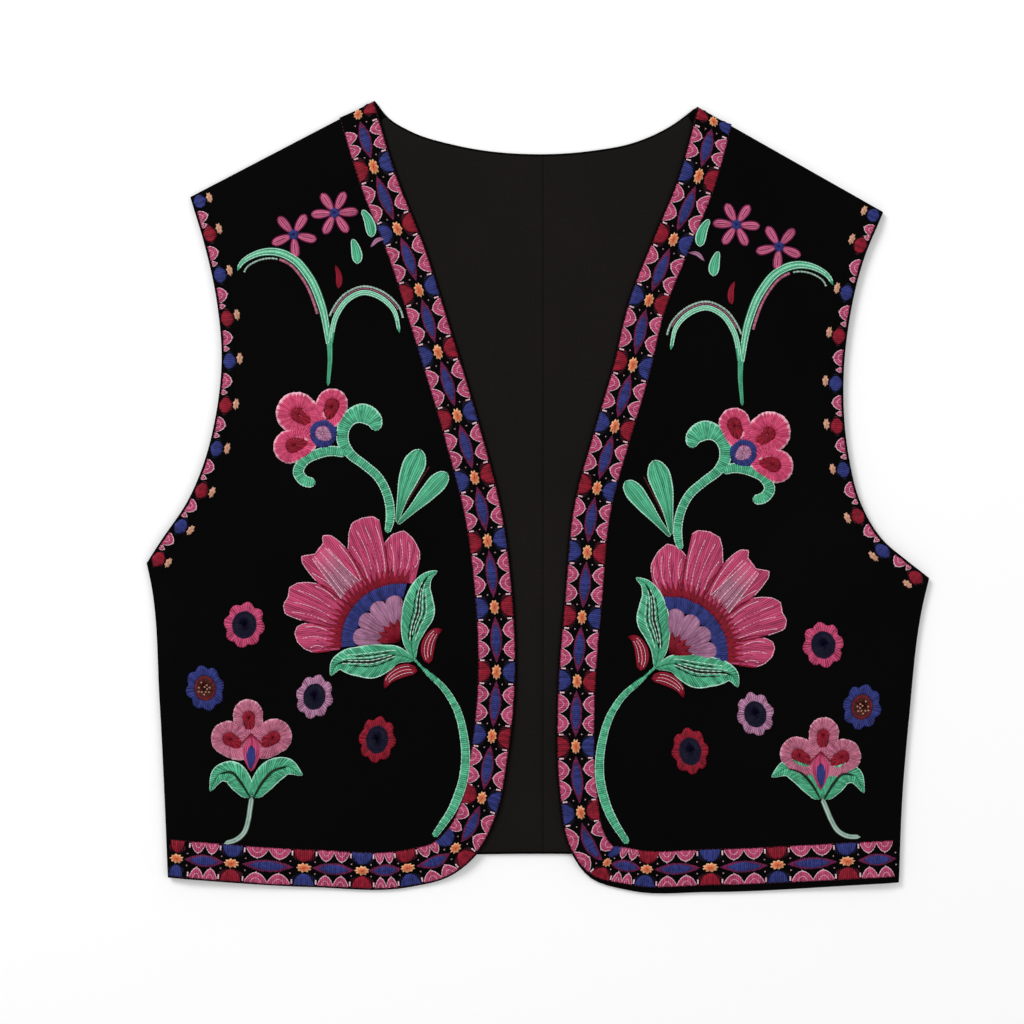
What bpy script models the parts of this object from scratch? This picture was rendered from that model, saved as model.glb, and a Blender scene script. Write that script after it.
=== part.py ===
"""Embroidered vest of European folk dress, open in front and laid flat with its fronts up.

The back lies on the surface, its lining in two halves lies on it, the two fronts lie on the lining, and the
raised satin stitch lies on the fronts. X runs across the vest, Y towards the neck and Z up. The origin is the
centre of the back's underside. Tables are in millimetres. "Right" is the wearer's right, at -X. Every table of
a side is in its own frame, where "out" is the distance from the vest's middle line, so one set of functions
builds both sides.
"""

from collections import namedtuple

import bmesh
import bpy
import numpy as np
from mathutils import Vector
from mathutils.geometry import delaunay_2d_cdt

# Thicknesses and clearances, in millimetres
CLOTH = 1.6
LINING = 1.0
STITCH = 1.0
GAP = 0.3

# How the layers lie, in millimetres
LINING_SEAM_INSET = 16.0
LINING_EDGE_INSET = 1.5
SEAM_ROLL = 10.0
HEM_FALL = 16.0
FLOOR_CLEARANCE = 0.3
HEM_REACH = 3.0
CROWN = 1.5
CROWN_START = 12.0
CROWN_RUN = 60.0
CENTRE_SEAM_X = 3.0

# The border along the front edge and the hem, and the edging round the armhole, in millimetres
BORDER_WIDTH = 23.5
BORDER_ROWS = (0.8, 7.5, 15.0, BORDER_WIDTH)
EDGING_WIDTH = 8.0
EDGING_ROWS = (0.8, EDGING_WIDTH)
STRIP_END = 1.0

# Spacing of the points, in millimetres
BORDER_STEP = 12.0
EDGE_STEP = 13.0
ROLL_ROWS = (5.0, 10.0)
ROLL_STEP = 15.0
GRID_STEP = 26.0
BACK_GRID_STEP = 70.0
LINING_GRID_STEP = 20.0
STROKE_STEP = 5.5

# The back's hem: an arc, higher in the middle than at the side seams, in millimetres
BACK_HEM_MIDDLE = -215.0
BACK_HEM_SIDE = -228.0
BACK_HEM_HALF = 220.0

Point = namedtuple("Point", "out y")
Row = namedtuple("Row", "out y width")
Disc = namedtuple("Disc", "out y radius")
Fold = namedtuple("Fold", "x_top y_top x_low y_low width height")
Petal = namedtuple("Petal", "start end radius")
Side = namedtuple("Side", "name sign border side armhole")
Motif = namedtuple("Motif", "name right left turn colour shape")

RIGHT = Side(
    name="right",
    sign=-1,
    border=(
        Point(98, 238), Point(85, 195), Point(67, 149), Point(51.5, 100), Point(34, 42),
        Point(21, -9), Point(14.5, -60), Point(13, -113), Point(17.5, -158), Point(24.5, -192),
        Point(36, -214), Point(53, -228.5), Point(77, -235), Point(137, -235), Point(222.5, -229),
    ),
    side=(Point(222.5, -229), Point(225, -170), Point(227.5, -122), Point(233, -50), Point(235.2, -40)),
    armhole=(
        Point(235.2, -40), Point(226, -26), Point(210, -2), Point(200, 22), Point(194, 46),
        Point(190, 82), Point(193, 118), Point(201, 154), Point(209, 180),
    ),
)

LEFT = Side(
    name="left",
    sign=1,
    border=(
        Point(95.5, 234.5), Point(83, 190), Point(69, 156), Point(54, 118), Point(44.5, 79),
        Point(33, 40), Point(21.5, -2), Point(15.5, -60), Point(11, -122), Point(12, -175),
        Point(19, -212), Point(31, -229), Point(55, -237), Point(103, -238), Point(217, -232),
    ),
    side=(Point(217, -232), Point(219, -182), Point(223, -134), Point(232, -62), Point(235.2, -49)),
    armhole=(
        Point(235.2, -49), Point(221, -38), Point(207, -26), Point(193, -2), Point(187, 22),
        Point(183.5, 70), Point(187, 106), Point(195.5, 142), Point(207.5, 171),
    ),
)

# The back's neckline between the two neck points, x and y
NECKLINE = ((-90, 228), (-76, 219.5), (-50, 211.5), (0, 206), (32, 208), (58, 213), (80, 223))

# Soft folds of the lining where it shows between the fronts
LINING_FOLDS = (
    Fold(x_top=-8, y_top=60, x_low=-3, y_low=-205, width=9, height=1.1),
    Fold(x_top=18, y_top=150, x_low=2, y_low=-60, width=14, height=0.7),
    Fold(x_top=-40, y_top=185, x_low=-12, y_low=30, width=20, height=0.9),
)

GREEN = (0.035, 0.36, 0.20)
PINK = (0.52, 0.055, 0.17)
MAUVE = (0.36, 0.12, 0.22)
LILAC = (0.27, 0.13, 0.25)
BLUE = (0.035, 0.035, 0.19)
RED = (0.37, 0.008, 0.03)
BLACK = (0.004, 0.004, 0.004)
CHARCOAL = (0.012, 0.012, 0.011)
BORDER_TONE = (0.10, 0.012, 0.05)

# Arches and stem of the upper sprig, from where they meet
SPRIG = (
    (Row(0.5, -33, 2.0), Row(-0.7, -16, 3.0), Row(0, 0, 4.0)),
    (
        Row(-0.3, -9, 3.4), Row(4.3, 15, 5.0), Row(12, 32.5, 5.4), Row(22, 43.5, 5.4),
        Row(33, 47.5, 5.0), Row(44, 46, 4.0), Row(53, 40, 2.6), Row(55, 36, 1.4),
    ),
    (
        Row(-0.6, -9, 3.0), Row(-5, 10, 3.4), Row(-11.7, 19, 3.4), Row(-21, 23, 3.4),
        Row(-30, 20.5, 3.4), Row(-38.5, 13, 3.0), Row(-42.4, -1, 1.8),
    ),
)

# The two scrolls of the middle blossom, from their fork
SCROLL = (
    (
        Row(-18, 15, 6.0), Row(-17, 20, 9.0), Row(-10.2, 23.8, 10.0), Row(-3.4, 21.6, 8.6), Row(1.2, 15.4, 7.4),
        Row(1.6, 6.4, 6.8), Row(-2.6, -0.4, 5.6), Row(-11, -7, 5.0), Row(-19.5, -14.6, 5.0),
        Row(-24.5, -24, 5.0), Row(-26.6, -34, 5.0), Row(-26.2, -42, 4.6), Row(-24.8, -47.6, 3.0),
    ),
    (
        Row(0, -0.4, 5.0), Row(7.4, 1.3, 5.6), Row(16.7, -0.4, 5.6), Row(26, -5.6, 5.8),
        Row(28.5, -11.5, 6.2), Row(25, -16.5, 6.2), Row(18.5, -18, 5.5),
    ),
)

# Lobes and throat of the middle blossom, from its throat
MIDDLE_BLOSSOM = (
    Disc(16.8, 13.2, 12.4), Disc(-3.2, 19.4, 7.8), Disc(22, -5.2, 9.6), Disc(2.2, 1.0, 6.2), Disc(7.5, 8.5, 9.5),
)

# The pair of leaves under the scroll, from their common foot
LEAF_PAIR = (
    (Row(0, 1, 1.6), Row(-3.2, 15, 6.5), Row(-7.6, 29, 13.0), Row(-11.4, 38, 13.5), Row(-14.2, 44.5, 6.0)),
    (Row(-0.6, 0, 1.6), Row(-9.5, 9, 5.0), Row(-18.5, 18.5, 9.5), Row(-25.5, 26, 10.5), Row(-30, 30.5, 6.0)),
)

# Petals of the large bloom about its foot: where each starts and ends, in degrees, and how far it reaches
BLOOM_PETALS = (
    Petal(103, 86, 65), Petal(80, 61, 78), Petal(61, 48, 77), Petal(48, 35, 76),
    Petal(34, 15, 73), Petal(15, -7, 61),
)
BLOOM_NOTCH = 58.0
BLOOM_BLUNTNESS = 5.0
BLOOM_FOOT = (
    Point(46, -4.5), Point(40, -2.6), Point(33, 1.1), Point(1.6, 1.4),
    Point(1.1, 25.2), Point(-1.6, 34.2), Point(-4.6, 40.8), Point(-9, 48),
)

# Two leaves and the stem of the large bloom, from their common foot
BLOOM_LEAVES = (
    (
        Row(0.6, 0.6, 2.0), Row(2.2, 12, 10.4), Row(0.6, 21, 16.0), Row(-2.1, 29.4, 19.6),
        Row(-2.6, 36, 17.0), Row(-4.4, 45, 10.6), Row(-7.6, 50, 6.0), Row(-13.2, 53.4, 1.2),
    ),
    (
        Row(0.8, 0.2, 2.0), Row(12, 3.0, 11.6), Row(19.2, 1.0, 17.2), Row(25.8, -0.6, 20.4),
        Row(34.2, -0.8, 17.6), Row(40.8, -0.8, 14.6), Row(46.2, -2.2, 9.0), Row(50.4, -9, 1.2),
    ),
    (
        Row(0.6, 0.8, 1.6), Row(-4.2, -4.4, 1.6), Row(-8.5, -8.6, 3.0), Row(-17, -16.5, 3.8),
        Row(-24.5, -29, 4.2), Row(-28.5, -46, 4.6), Row(-28, -66, 5.0), Row(-21, -88, 4.6), Row(-10.5, -104, 3.4),
    ),
)
INNER_SEPAL = ((Row(-8.4, -2.0, 3.0), Row(-7.4, 5.2, 6.6), Row(-9.4, 13, 5.8), Row(-13, 17.2, 3.4),
                Row(-16.6, 18, 1.0)),)
LOWER_SEPAL = ((Row(-1.4, -7.4, 3.0), Row(4.4, -6.6, 5.6), Row(10.4, -8.4, 5.4), Row(16, -12.6, 3.6),
                Row(17.8, -17.2, 1.0)),)

# Lobes and throat of the lower blossom, from its throat
LOWER_BLOSSOM = (
    Disc(1.7, 25.6, 9.0), Disc(13.6, 11.2, 9.4), Disc(-14.3, 13.2, 9.2), Disc(0, 10, 8.4), Disc(0, 1.5, 4.4),
)

# Leaves and stem of the lower blossom, from their common foot
LOWER_LEAVES = (
    (Row(1, -0.6, 3.6), Row(6.6, 5.0, 9.0), Row(13, 10.4, 12.6), Row(20, 11.0, 10.5), Row(25.4, 2.6, 1.2)),
    (Row(-1.5, 0, 3.6), Row(-7.6, 5.6, 9.0), Row(-13.4, 11.6, 11.6), Row(-21, 14.6, 9.6), Row(-30.2, 10, 1.2)),
    (Row(0.3, 0.6, 3.0), Row(1, -7, 3.0), Row(2.8, -13, 2.8), Row(8, -19.5, 2.8), Row(15, -23.5, 2.0)),
)

FLORET_RADIUS = 12.4
FLORET_STRETCH = 1.1
FLORET_LOBES = 8
FLORET_LOBE_DEPTH = 0.13
STAR_RADIUS = 13.2
STAR_CORE = 4.0
STAR_PETAL_WIDTH = 5.2


def ease(share):
    """0 up to 1 along half a cosine wave, flat at both ends."""
    return 0.5 - 0.5 * np.cos(np.pi * np.clip(share, 0, 1))


def lengths_along(path):
    """How far each point lies along its path, in the plane."""
    steps = np.linalg.norm(np.diff(path[:, :2], axis=0), axis=1)
    return np.concatenate([[0], np.cumsum(steps)])


def smooth_path(rows, step):
    """Rows about one step apart on a cubic curve through the given rows, with slopes from their neighbours."""
    knots = np.array(rows, float)
    at = lengths_along(knots)
    slopes = np.gradient(knots, at, axis=0)
    fine = np.linspace(0, at[-1], 30 * len(knots))
    k = np.clip(np.searchsorted(at, fine, side="right") - 1, 0, len(at) - 2)
    h = (at[k + 1] - at[k])[:, None]
    s = (fine - at[k])[:, None] / h
    curve = (
        (2 * s**3 - 3 * s**2 + 1) * knots[k]
        + (s**3 - 2 * s**2 + s) * h * slopes[k]
        + (3 * s**2 - 2 * s**3) * knots[k + 1]
        + (s**3 - s**2) * h * slopes[k + 1]
    )
    return spaced(curve, step)


def spaced(path, step):
    """The path again, with its points evenly about one step apart."""
    along = lengths_along(path)
    count = max(2, round(along[-1] / step) + 1)
    even = np.linspace(0, along[-1], count)
    return np.column_stack([np.interp(even, along, column) for column in path.T])


def left_normals(path):
    """Unit normals to the left of the way along the path."""
    way = np.gradient(path[:, :2], axis=0)
    way /= np.linalg.norm(way, axis=1)[:, None]
    return np.column_stack([-way[:, 1], way[:, 0]])


def strip_row(path, offset, start_edge, end_edge, step):
    """A line inside a path at one offset, cut off where it meets the edges before and after the path."""
    fine = spaced(path, 1.5)
    normals = left_normals(fine)
    along = lengths_along(fine)
    ends = []
    for index, edge in ((0, start_edge), (-1, end_edge)):
        way = np.array([normals[index][1], -normals[index][0]])
        ends.append(offset * (edge @ way) / (edge @ normals[index]))
    count = max(2, round(along[-1] / step) + 1)
    at = np.linspace(STRIP_END + ends[0], along[-1] - STRIP_END + ends[1], count)
    row = fine + normals * offset
    return np.column_stack([np.interp(at, along, row[:, 0]), np.interp(at, along, row[:, 1])])


def distance_to(path, points):
    """Least distance from each point to the straight stretches of a path."""
    start = path[:-1]
    span = np.diff(path, axis=0)
    to_point = points[:, None] - start[None]
    share = (to_point * span).sum(axis=2) / np.maximum((span**2).sum(axis=1), 1e-12)
    nearest = start[None] + np.clip(share, 0, 1)[:, :, None] * span[None]
    return np.linalg.norm(points[:, None] - nearest, axis=2).min(axis=1)


def inside(loop, points):
    """Which points lie inside a closed loop, by counting the sides that a ray crosses."""
    a = loop
    b = np.roll(loop, -1, axis=0)
    x, y = points[:, 0][:, None], points[:, 1][:, None]
    crosses = (a[:, 1] > y) != (b[:, 1] > y)
    rise = np.where(b[:, 1] == a[:, 1], 1e-9, b[:, 1] - a[:, 1])
    at = a[:, 0] + (y - a[:, 1]) * (b[:, 0] - a[:, 0]) / rise
    return (crosses & (x < at)).sum(axis=1) % 2 == 1


def grid_points(loop, step):
    """Points of a square grid that covers a loop."""
    low, high = loop.min(axis=0), loop.max(axis=0)
    x, y = np.meshgrid(np.arange(low[0] + step / 2, high[0], step), np.arange(low[1] + step / 2, high[1], step))
    return np.column_stack([x.ravel(), y.ravel()])


def kept_apart(candidates, kept, loop, least):
    """The candidates inside a loop that lie at least this far from the points already kept."""
    for point in candidates[inside(loop, candidates)]:
        if np.linalg.norm(kept - point, axis=1).min() >= least:
            kept = np.vstack([kept, point])
    return kept


def triangulated(loops, loose):
    """Points and triangles that fill the loops together, through the loose points inside them."""
    points, edges, faces = [], [], []
    for loop in loops:
        first = len(points)
        points.extend(loop)
        ring = list(range(first, len(points)))
        edges.extend(zip(ring, ring[1:] + ring[:1]))
        faces.append(ring)
    points.extend(loose)
    found = delaunay_2d_cdt([Vector(p) for p in points], edges, faces, 1, 1e-5)
    return np.array([tuple(v) for v in found[0]]), [list(face) for face in found[2]]


def trimmed_loop(paths):
    """A closed loop from paths in order, each cut where it crosses the next."""
    cut_paths = [list(map(np.array, path)) for path in paths]
    for index, path in enumerate(cut_paths):
        following = cut_paths[(index + 1) % len(cut_paths)]
        crossing = next(
            (i, j, point)
            for i in range(len(path) - 1, 0, -1)
            for j in range(1, len(following))
            for point in [crossing_of(path[i - 1], path[i], following[j - 1], following[j])]
            if point is not None
        )
        path[crossing[0]:] = [crossing[2]]
        following[: crossing[1]] = [crossing[2]]
    return np.array([point for path in cut_paths for point in path[:-1]])


def crossing_of(a, b, c, d):
    """Where two straight stretches cross, or None."""
    along, across = b - a, d - c
    turn = along[0] * across[1] - along[1] * across[0]
    if abs(turn) < 1e-9:
        return None
    gap = c - a
    s = (gap[0] * across[1] - gap[1] * across[0]) / turn
    t = (gap[0] * along[1] - gap[1] * along[0]) / turn
    return a + s * along if 0 <= s <= 1 and 0 <= t <= 1 else None


def lengthened(path, reach):
    """A path with its two end stretches carried straight on."""
    first = path[0] + (path[0] - path[1]) / np.linalg.norm(path[0] - path[1]) * reach
    last = path[-1] + (path[-1] - path[-2]) / np.linalg.norm(path[-1] - path[-2]) * reach
    return np.vstack([first, path, last])


def inset(path, distance):
    """A path moved to its left, and lengthened so that it crosses its neighbours."""
    return lengthened(path + left_normals(path) * distance, 3 * distance + 4)


def back_hem_y(out):
    """Height of the back's hem at a distance from the middle."""
    return BACK_HEM_MIDDLE + (BACK_HEM_SIDE - BACK_HEM_MIDDLE) * (out / BACK_HEM_HALF) ** 2


def edges_of(side):
    """The four edges of a front, in order round it with the cloth on their left."""
    border = smooth_path(side.border, BORDER_STEP)
    seam = smooth_path(side.side, EDGE_STEP)
    armhole = smooth_path(side.armhole, EDGE_STEP)
    shoulder = spaced(np.array([side.armhole[-1], side.border[0]], float), EDGE_STEP)
    return border, seam, armhole, shoulder


def front_under(side, points):
    """Height of a front's underside: on the lining, down to the back at its seams, and down past the back's hem."""
    border, seam, armhole, shoulder = edges_of(side)
    to_seam = np.minimum(distance_to(seam, points), distance_to(shoulder, points))
    to_edge = np.minimum(np.minimum(to_seam, distance_to(border, points)), distance_to(armhole, points))
    on_back = CLOTH + GAP
    on_lining = on_back + LINING + GAP
    laid = on_back + (on_lining - on_back) * ease(to_seam / SEAM_ROLL)
    fall = ease((back_hem_y(points[:, 0]) - HEM_REACH - points[:, 1]) / HEM_FALL)
    crown = CROWN * ease((to_edge - CROWN_START) / CROWN_RUN)
    return FLOOR_CLEARANCE + (laid - FLOOR_CLEARANCE) * (1 - fall) + crown


def material_named(name, colour, roughness):
    material = bpy.data.materials.new(name)
    material.use_nodes = True
    shader = material.node_tree.nodes["Principled BSDF"]
    shader.inputs["Base Color"].default_value = (*colour, 1)
    shader.inputs["Roughness"].default_value = roughness
    shader.inputs["Metallic"].default_value = 0
    material.diffuse_color = (*colour, 1)
    return material


def solid_from(name, points, faces, heights, thickness, sign, material):
    """A sheet of triangles in millimetres, lifted to its heights and extruded straight up."""
    mesh = bmesh.new()
    used = sorted({index for face in faces for index in face})
    corners = {
        index: mesh.verts.new((sign * points[index][0] / 1000, points[index][1] / 1000, heights[index] / 1000))
        for index in used
    }
    for face in faces:
        mesh.faces.new([corners[index] for index in face])
    raised = bmesh.ops.extrude_face_region(mesh, geom=mesh.faces[:], use_keep_orig=True)
    top = [item for item in raised["geom"] if isinstance(item, bmesh.types.BMVert)]
    bmesh.ops.translate(mesh, verts=top, vec=(0, 0, thickness / 1000))
    bmesh.ops.recalc_face_normals(mesh, faces=mesh.faces[:])
    data = bpy.data.meshes.new(name)
    mesh.to_mesh(data)
    mesh.free()
    data.shade_smooth()
    data.set_sharp_from_angle(angle=0.6)
    data.materials.append(material)
    piece = bpy.data.objects.new(name, data)
    collection.objects.link(piece)
    return piece


def faces_within(points, faces, loop):
    """The triangles whose middle lies inside a loop."""
    middles = np.array([points[face].mean(axis=0) for face in faces])
    return [face for face, held in zip(faces, inside(loop, middles)) if held]


def add_front(side, cloth, border_cloth):
    """One front panel, with its border and armhole edging cut from the same points and moved out."""
    border, seam, armhole, shoulder = edges_of(side)
    to_tip = shoulder[0] - shoulder[-1]
    seam_up = seam[1] - seam[0]
    seam_down = seam[-2] - seam[-1]
    border_rows = [strip_row(border, v, to_tip, seam_up, BORDER_STEP) for v in BORDER_ROWS]
    edging_rows = [strip_row(armhole, v, seam_down, -to_tip, EDGE_STEP) for v in EDGING_ROWS]
    border_loop = np.vstack([border_rows[0], border_rows[-1][::-1]])
    edging_loop = np.vstack([edging_rows[0], edging_rows[-1][::-1]])
    outline = np.vstack([border[:-1], seam[:-1], armhole[:-1], shoulder[:-1]])
    kept = np.vstack([outline, *border_rows, *edging_rows])
    rolls = np.vstack([path + left_normals(path) * v for v in ROLL_ROWS for path in
                       (spaced(seam, ROLL_STEP), spaced(shoulder, ROLL_STEP))])
    kept = kept_apart(rolls, kept, outline, 0.4 * ROLL_STEP)
    kept = kept_apart(grid_points(outline, GRID_STEP), kept, outline, 0.45 * GRID_STEP)
    points, faces = triangulated([outline, border_loop, edging_loop], kept[len(outline):])
    under = front_under(side, points)
    solid_from(f"front_{side.name}", points, faces, under, CLOTH, side.sign, cloth)
    on_top = under + CLOTH + GAP
    for name, loop in (("border", border_loop), ("armhole_edging", edging_loop)):
        held = faces_within(points, faces, loop)
        solid_from(f"{name}_{side.name}", points, held, on_top, STITCH, side.sign, border_cloth)


def back_edges():
    """The back's edges round it with the cloth on their left: hem, seams, armholes, shoulders and neckline."""
    mirror = np.array([-1, 1])
    _, right_seam, right_armhole, right_shoulder = edges_of(RIGHT)
    _, left_seam, left_armhole, left_shoulder = edges_of(LEFT)
    turned = [(path * mirror)[::-1] for path in (right_seam, right_armhole, right_shoulder)]
    for path, end in ((left_seam, 0), (turned[0], -1)):
        path[end, 1] = back_hem_y(abs(path[end, 0]))
    across = np.linspace(turned[0][-1, 0], left_seam[0, 0], round(2 * BACK_HEM_HALF / EDGE_STEP))
    hem = np.column_stack([across, back_hem_y(across)])
    neck = smooth_path([left_shoulder[-1], *NECKLINE[::-1], turned[2][0]], EDGE_STEP)
    return {
        "hem": hem, "left_seam": left_seam, "left_armhole": left_armhole, "left_shoulder": left_shoulder,
        "neck": neck, "right_shoulder": turned[2], "right_armhole": turned[1], "right_seam": turned[0],
    }


def add_back(cloth):
    outline = np.vstack([path[:-1] for path in back_edges().values()])
    grid = kept_apart(grid_points(outline, BACK_GRID_STEP), outline, outline, 0.4 * BACK_GRID_STEP)
    points, faces = triangulated([outline], grid[len(outline):])
    solid_from("back", points, faces, np.zeros(len(points)), CLOTH, 1, cloth)


def fold_height(points):
    """Rise of the lining's folds: a rounded ridge along a slanting line, fading out at both ends."""
    total = np.zeros(len(points))
    for fold in LINING_FOLDS:
        along = (fold.y_top - points[:, 1]) / (fold.y_top - fold.y_low)
        middle = fold.x_top + (fold.x_low - fold.x_top) * along
        across = 1 - np.abs(points[:, 0] - middle) / fold.width
        total += fold.height * ease(across) * ease(4 * along) * ease(4 * (1 - along))
    return total


def add_lining(name, side_name, sign, cloth):
    """One half of the back's lining, set in from the back's edges and open along the centre seam."""
    edges = back_edges()
    seam_x = CENTRE_SEAM_X + sign * GAP / 2
    centre = np.array([(seam_x, 260.0), (seam_x, -260.0)])
    order = [
        (edges["neck"], LINING_EDGE_INSET),
        (edges[f"{side_name}_shoulder"], LINING_SEAM_INSET),
        (edges[f"{side_name}_armhole"], LINING_EDGE_INSET),
        (edges[f"{side_name}_seam"], LINING_SEAM_INSET),
        (edges["hem"], LINING_EDGE_INSET),
    ]
    if sign > 0:
        paths = [inset(path, distance) for path, distance in order[::-1]] + [centre]
    else:
        paths = [inset(path, distance) for path, distance in order] + [centre[::-1]]
    outline = trimmed_loop(paths)
    half = kept_apart(grid_points(outline, LINING_GRID_STEP), outline, outline, 0.45 * LINING_GRID_STEP)
    points, faces = triangulated([outline], half[len(outline):])
    heights = CLOTH + GAP + fold_height(points)
    solid_from(name, points, faces, heights, LINING, 1, cloth)


def stroke_loop(rows):
    """A closed loop round a tapering stroke, with rounded ends where it is broad."""
    path = smooth_path(rows, STROKE_STEP)
    normals = left_normals(path)
    half = path[:, 2:3] / 2
    loop = [path[:, :2] + normals * half]
    for index, turn in ((-1, 1), (0, -1)):
        reach = path[index, 2] / 2
        way = np.array([normals[index][1], -normals[index][0]]) * turn
        if reach > 0.9:
            angles = np.radians((50, 90, 130))
            side_way = normals[index] * turn
            cap = [path[index, :2] + reach * (np.cos(a) * side_way + 0.7 * np.sin(a) * way) for a in angles]
            loop.append(np.array(cap))
        if index == -1:
            loop.append((path[:, :2] - normals * half)[::-1])
    return np.vstack(loop)


def strokes(tables):
    return [stroke_loop(rows) for rows in tables]


def discs(table):
    """A round loop for each lobe, with points about as far apart as on a stroke."""
    loops = []
    for disc in table:
        count = max(10, round(2 * np.pi * disc.radius / STROKE_STEP))
        angles = np.linspace(0, 2 * np.pi, count, endpoint=False)
        loops.append(np.column_stack([disc.out + disc.radius * np.cos(angles), disc.y + disc.radius * np.sin(angles)]))
    return loops


def star(petals, first):
    """Narrow petals round a small core, the first one at the given angle in degrees."""
    loops = discs([Disc(0, 0, STAR_CORE)])
    for angle in np.radians(first + np.arange(petals) * 360 / petals):
        way = np.array([np.cos(angle), np.sin(angle)])
        reach = STAR_RADIUS - STAR_PETAL_WIDTH * 0.3
        middle = way * reach * 0.55
        tip = way * reach
        start = way * 1.5
        loops.append(stroke_loop([
            (*start, 2.4), (*middle, STAR_PETAL_WIDTH), (*tip, STAR_PETAL_WIDTH * 0.7),
        ]))
    return loops


def floret(turn):
    """A ring of round lobes: the radius falls to a notch between one lobe and the next."""
    angles = np.linspace(0, 2 * np.pi, 4 * FLORET_LOBES, endpoint=False)
    lobe = np.abs(np.cos(FLORET_LOBES / 2 * angles))
    radius = FLORET_RADIUS * (1 - FLORET_LOBE_DEPTH * (1 - lobe))
    x, y = radius * np.cos(angles), radius * FLORET_STRETCH * np.sin(angles)
    c, s = np.cos(np.radians(turn)), np.sin(np.radians(turn))
    return [np.column_stack([c * x - s * y, s * x + c * y])]


def bloom():
    """Blunt petals about the foot: the radius rises from a notch, stays near its reach and falls again."""
    share = np.linspace(0, 1, 8)
    round_off = 1 - np.abs(2 * share - 1) ** BLOOM_BLUNTNESS
    loop = [np.array(BLOOM_FOOT, float)]
    for petal in BLOOM_PETALS:
        angles = np.radians(petal.start + (petal.end - petal.start) * share)
        radius = BLOOM_NOTCH + (petal.radius - BLOOM_NOTCH) * round_off
        radius = np.where((share > 0) & (share < 1), radius, BLOOM_NOTCH)
        loop.append(np.column_stack([radius * np.cos(angles), radius * np.sin(angles)]))
    return [np.vstack(loop)]


def motifs():
    """Every raised motif: where its foot lies on each front, its turn on the left one, and its loops."""
    return (
        Motif("star_upper", Point(122, 170), Point(119, 163), 0, PINK, star(6, -4)),
        Motif("star_lower", Point(146.5, 157), Point(144.5, 151.5), 0, PINK, star(5, 186)),
        Motif("sprig", Point(125.4, 99.3), Point(122, 89), 0, GREEN, strokes(SPRIG)),
        Motif("blossom_middle", Point(128, 37), Point(122.4, 25.4), 0, PINK, discs(MIDDLE_BLOSSOM)),
        Motif("scroll", Point(115.2, 26), Point(110.4, 15.8), 0, GREEN, strokes(SCROLL)),
        Motif("leaf_pair", Point(84.6, -16.5), Point(79.8, -24), -5, GREEN, strokes(LEAF_PAIR)),
        Motif("bloom", Point(82.8, -87.3), Point(78.8, -95.2), -1, PINK, bloom()),
        Motif("bloom_leaves", Point(73.8, -98.1), Point(69.8, -102.8), -2.5, GREEN, strokes(BLOOM_LEAVES)),
        Motif("sepal_inner", Point(73.8, -98.1), Point(69.8, -102.8), -2.5, RED, strokes(INNER_SEPAL)),
        Motif("sepal_lower", Point(73.8, -98.1), Point(69.8, -102.8), -2.5, RED, strokes(LOWER_SEPAL)),
        Motif("floret_pink", Point(176, -77), Point(171, -89), 0, PINK, floret(10)),
        Motif("floret_blue", Point(199.7, -115), Point(194.4, -126.3), 0, BLUE, floret(-12)),
        Motif("floret_lilac", Point(134, -120), Point(130.2, -130.5), 0, LILAC, floret(14)),
        Motif("floret_red", Point(96.4, -145.7), Point(91.2, -152.7), 0, RED, floret(8)),
        Motif("blossom_lower", Point(172.2, -156.3), Point(170.4, -165), 0, MAUVE, discs(LOWER_BLOSSOM)),
        Motif("leaves_lower", Point(171.3, -180.6), Point(170.6, -182.5), 0, GREEN, strokes(LOWER_LEAVES)),
    )


def add_motif(side, motif, thread):
    """One raised motif as a closed body that follows the top of its front."""
    place = motif.right if side is RIGHT else motif.left
    turn = np.radians(0 if side is RIGHT else motif.turn)
    spin = np.array([[np.cos(turn), -np.sin(turn)], [np.sin(turn), np.cos(turn)]])
    loops = [loop @ spin.T + np.array(place, float) for loop in motif.shape]
    around = np.vstack(loops)
    kept = around
    for loop in loops:
        kept = kept_apart(grid_points(loop, GRID_STEP), kept, loop, 0.35 * GRID_STEP)
    points, faces = triangulated(loops, kept[len(around):])
    under = front_under(side, points) + CLOTH + GAP
    solid_from(f"{motif.name}_{side.name}", points, faces, under, STITCH, side.sign, thread)


def cleared_collection(name):
    """An empty scene with one collection named for the vest."""
    for existing in list(bpy.data.objects):
        bpy.data.objects.remove(existing, do_unlink=True)
    made = bpy.data.collections.new(name)
    bpy.context.scene.collection.children.link(made)
    return made


collection = cleared_collection("embroidered_vest")
black_cloth = material_named("black_cloth", BLACK, 0.9)
lining_cloth = material_named("charcoal_lining", CHARCOAL, 0.75)
border_thread = material_named("border_embroidery", BORDER_TONE, 0.6)
threads = {colour: material_named(f"thread_{number}", colour, 0.5) for number, colour in
           enumerate((GREEN, PINK, MAUVE, LILAC, BLUE, RED))}

add_back(black_cloth)
add_lining("lining_left", "left", 1, lining_cloth)
add_lining("lining_right", "right", -1, lining_cloth)
for vest_side in (RIGHT, LEFT):
    add_front(vest_side, black_cloth, border_thread)
    for vest_motif in motifs():
        add_motif(vest_side, vest_motif, threads[vest_motif.colour])
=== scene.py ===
"""Embroidered vest, laid flat with its open fronts up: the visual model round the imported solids.

Each cloth panel is a Coons patch between its four edges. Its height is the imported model's: on the lining,
down to the back at the seams, and down past the back's hem. Stitches are closed grids of points P(s, t).
s counts the threads, with one valley and one crest for each, and t runs along a thread from 0 to 1. The
rise above the cloth is a dome over t, less a small depth in each valley. The border is laid out by the
distance along the front's edge and the distance in from it, so that every repeat bends with the edge.
"""

from collections import namedtuple
from functools import partial

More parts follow.
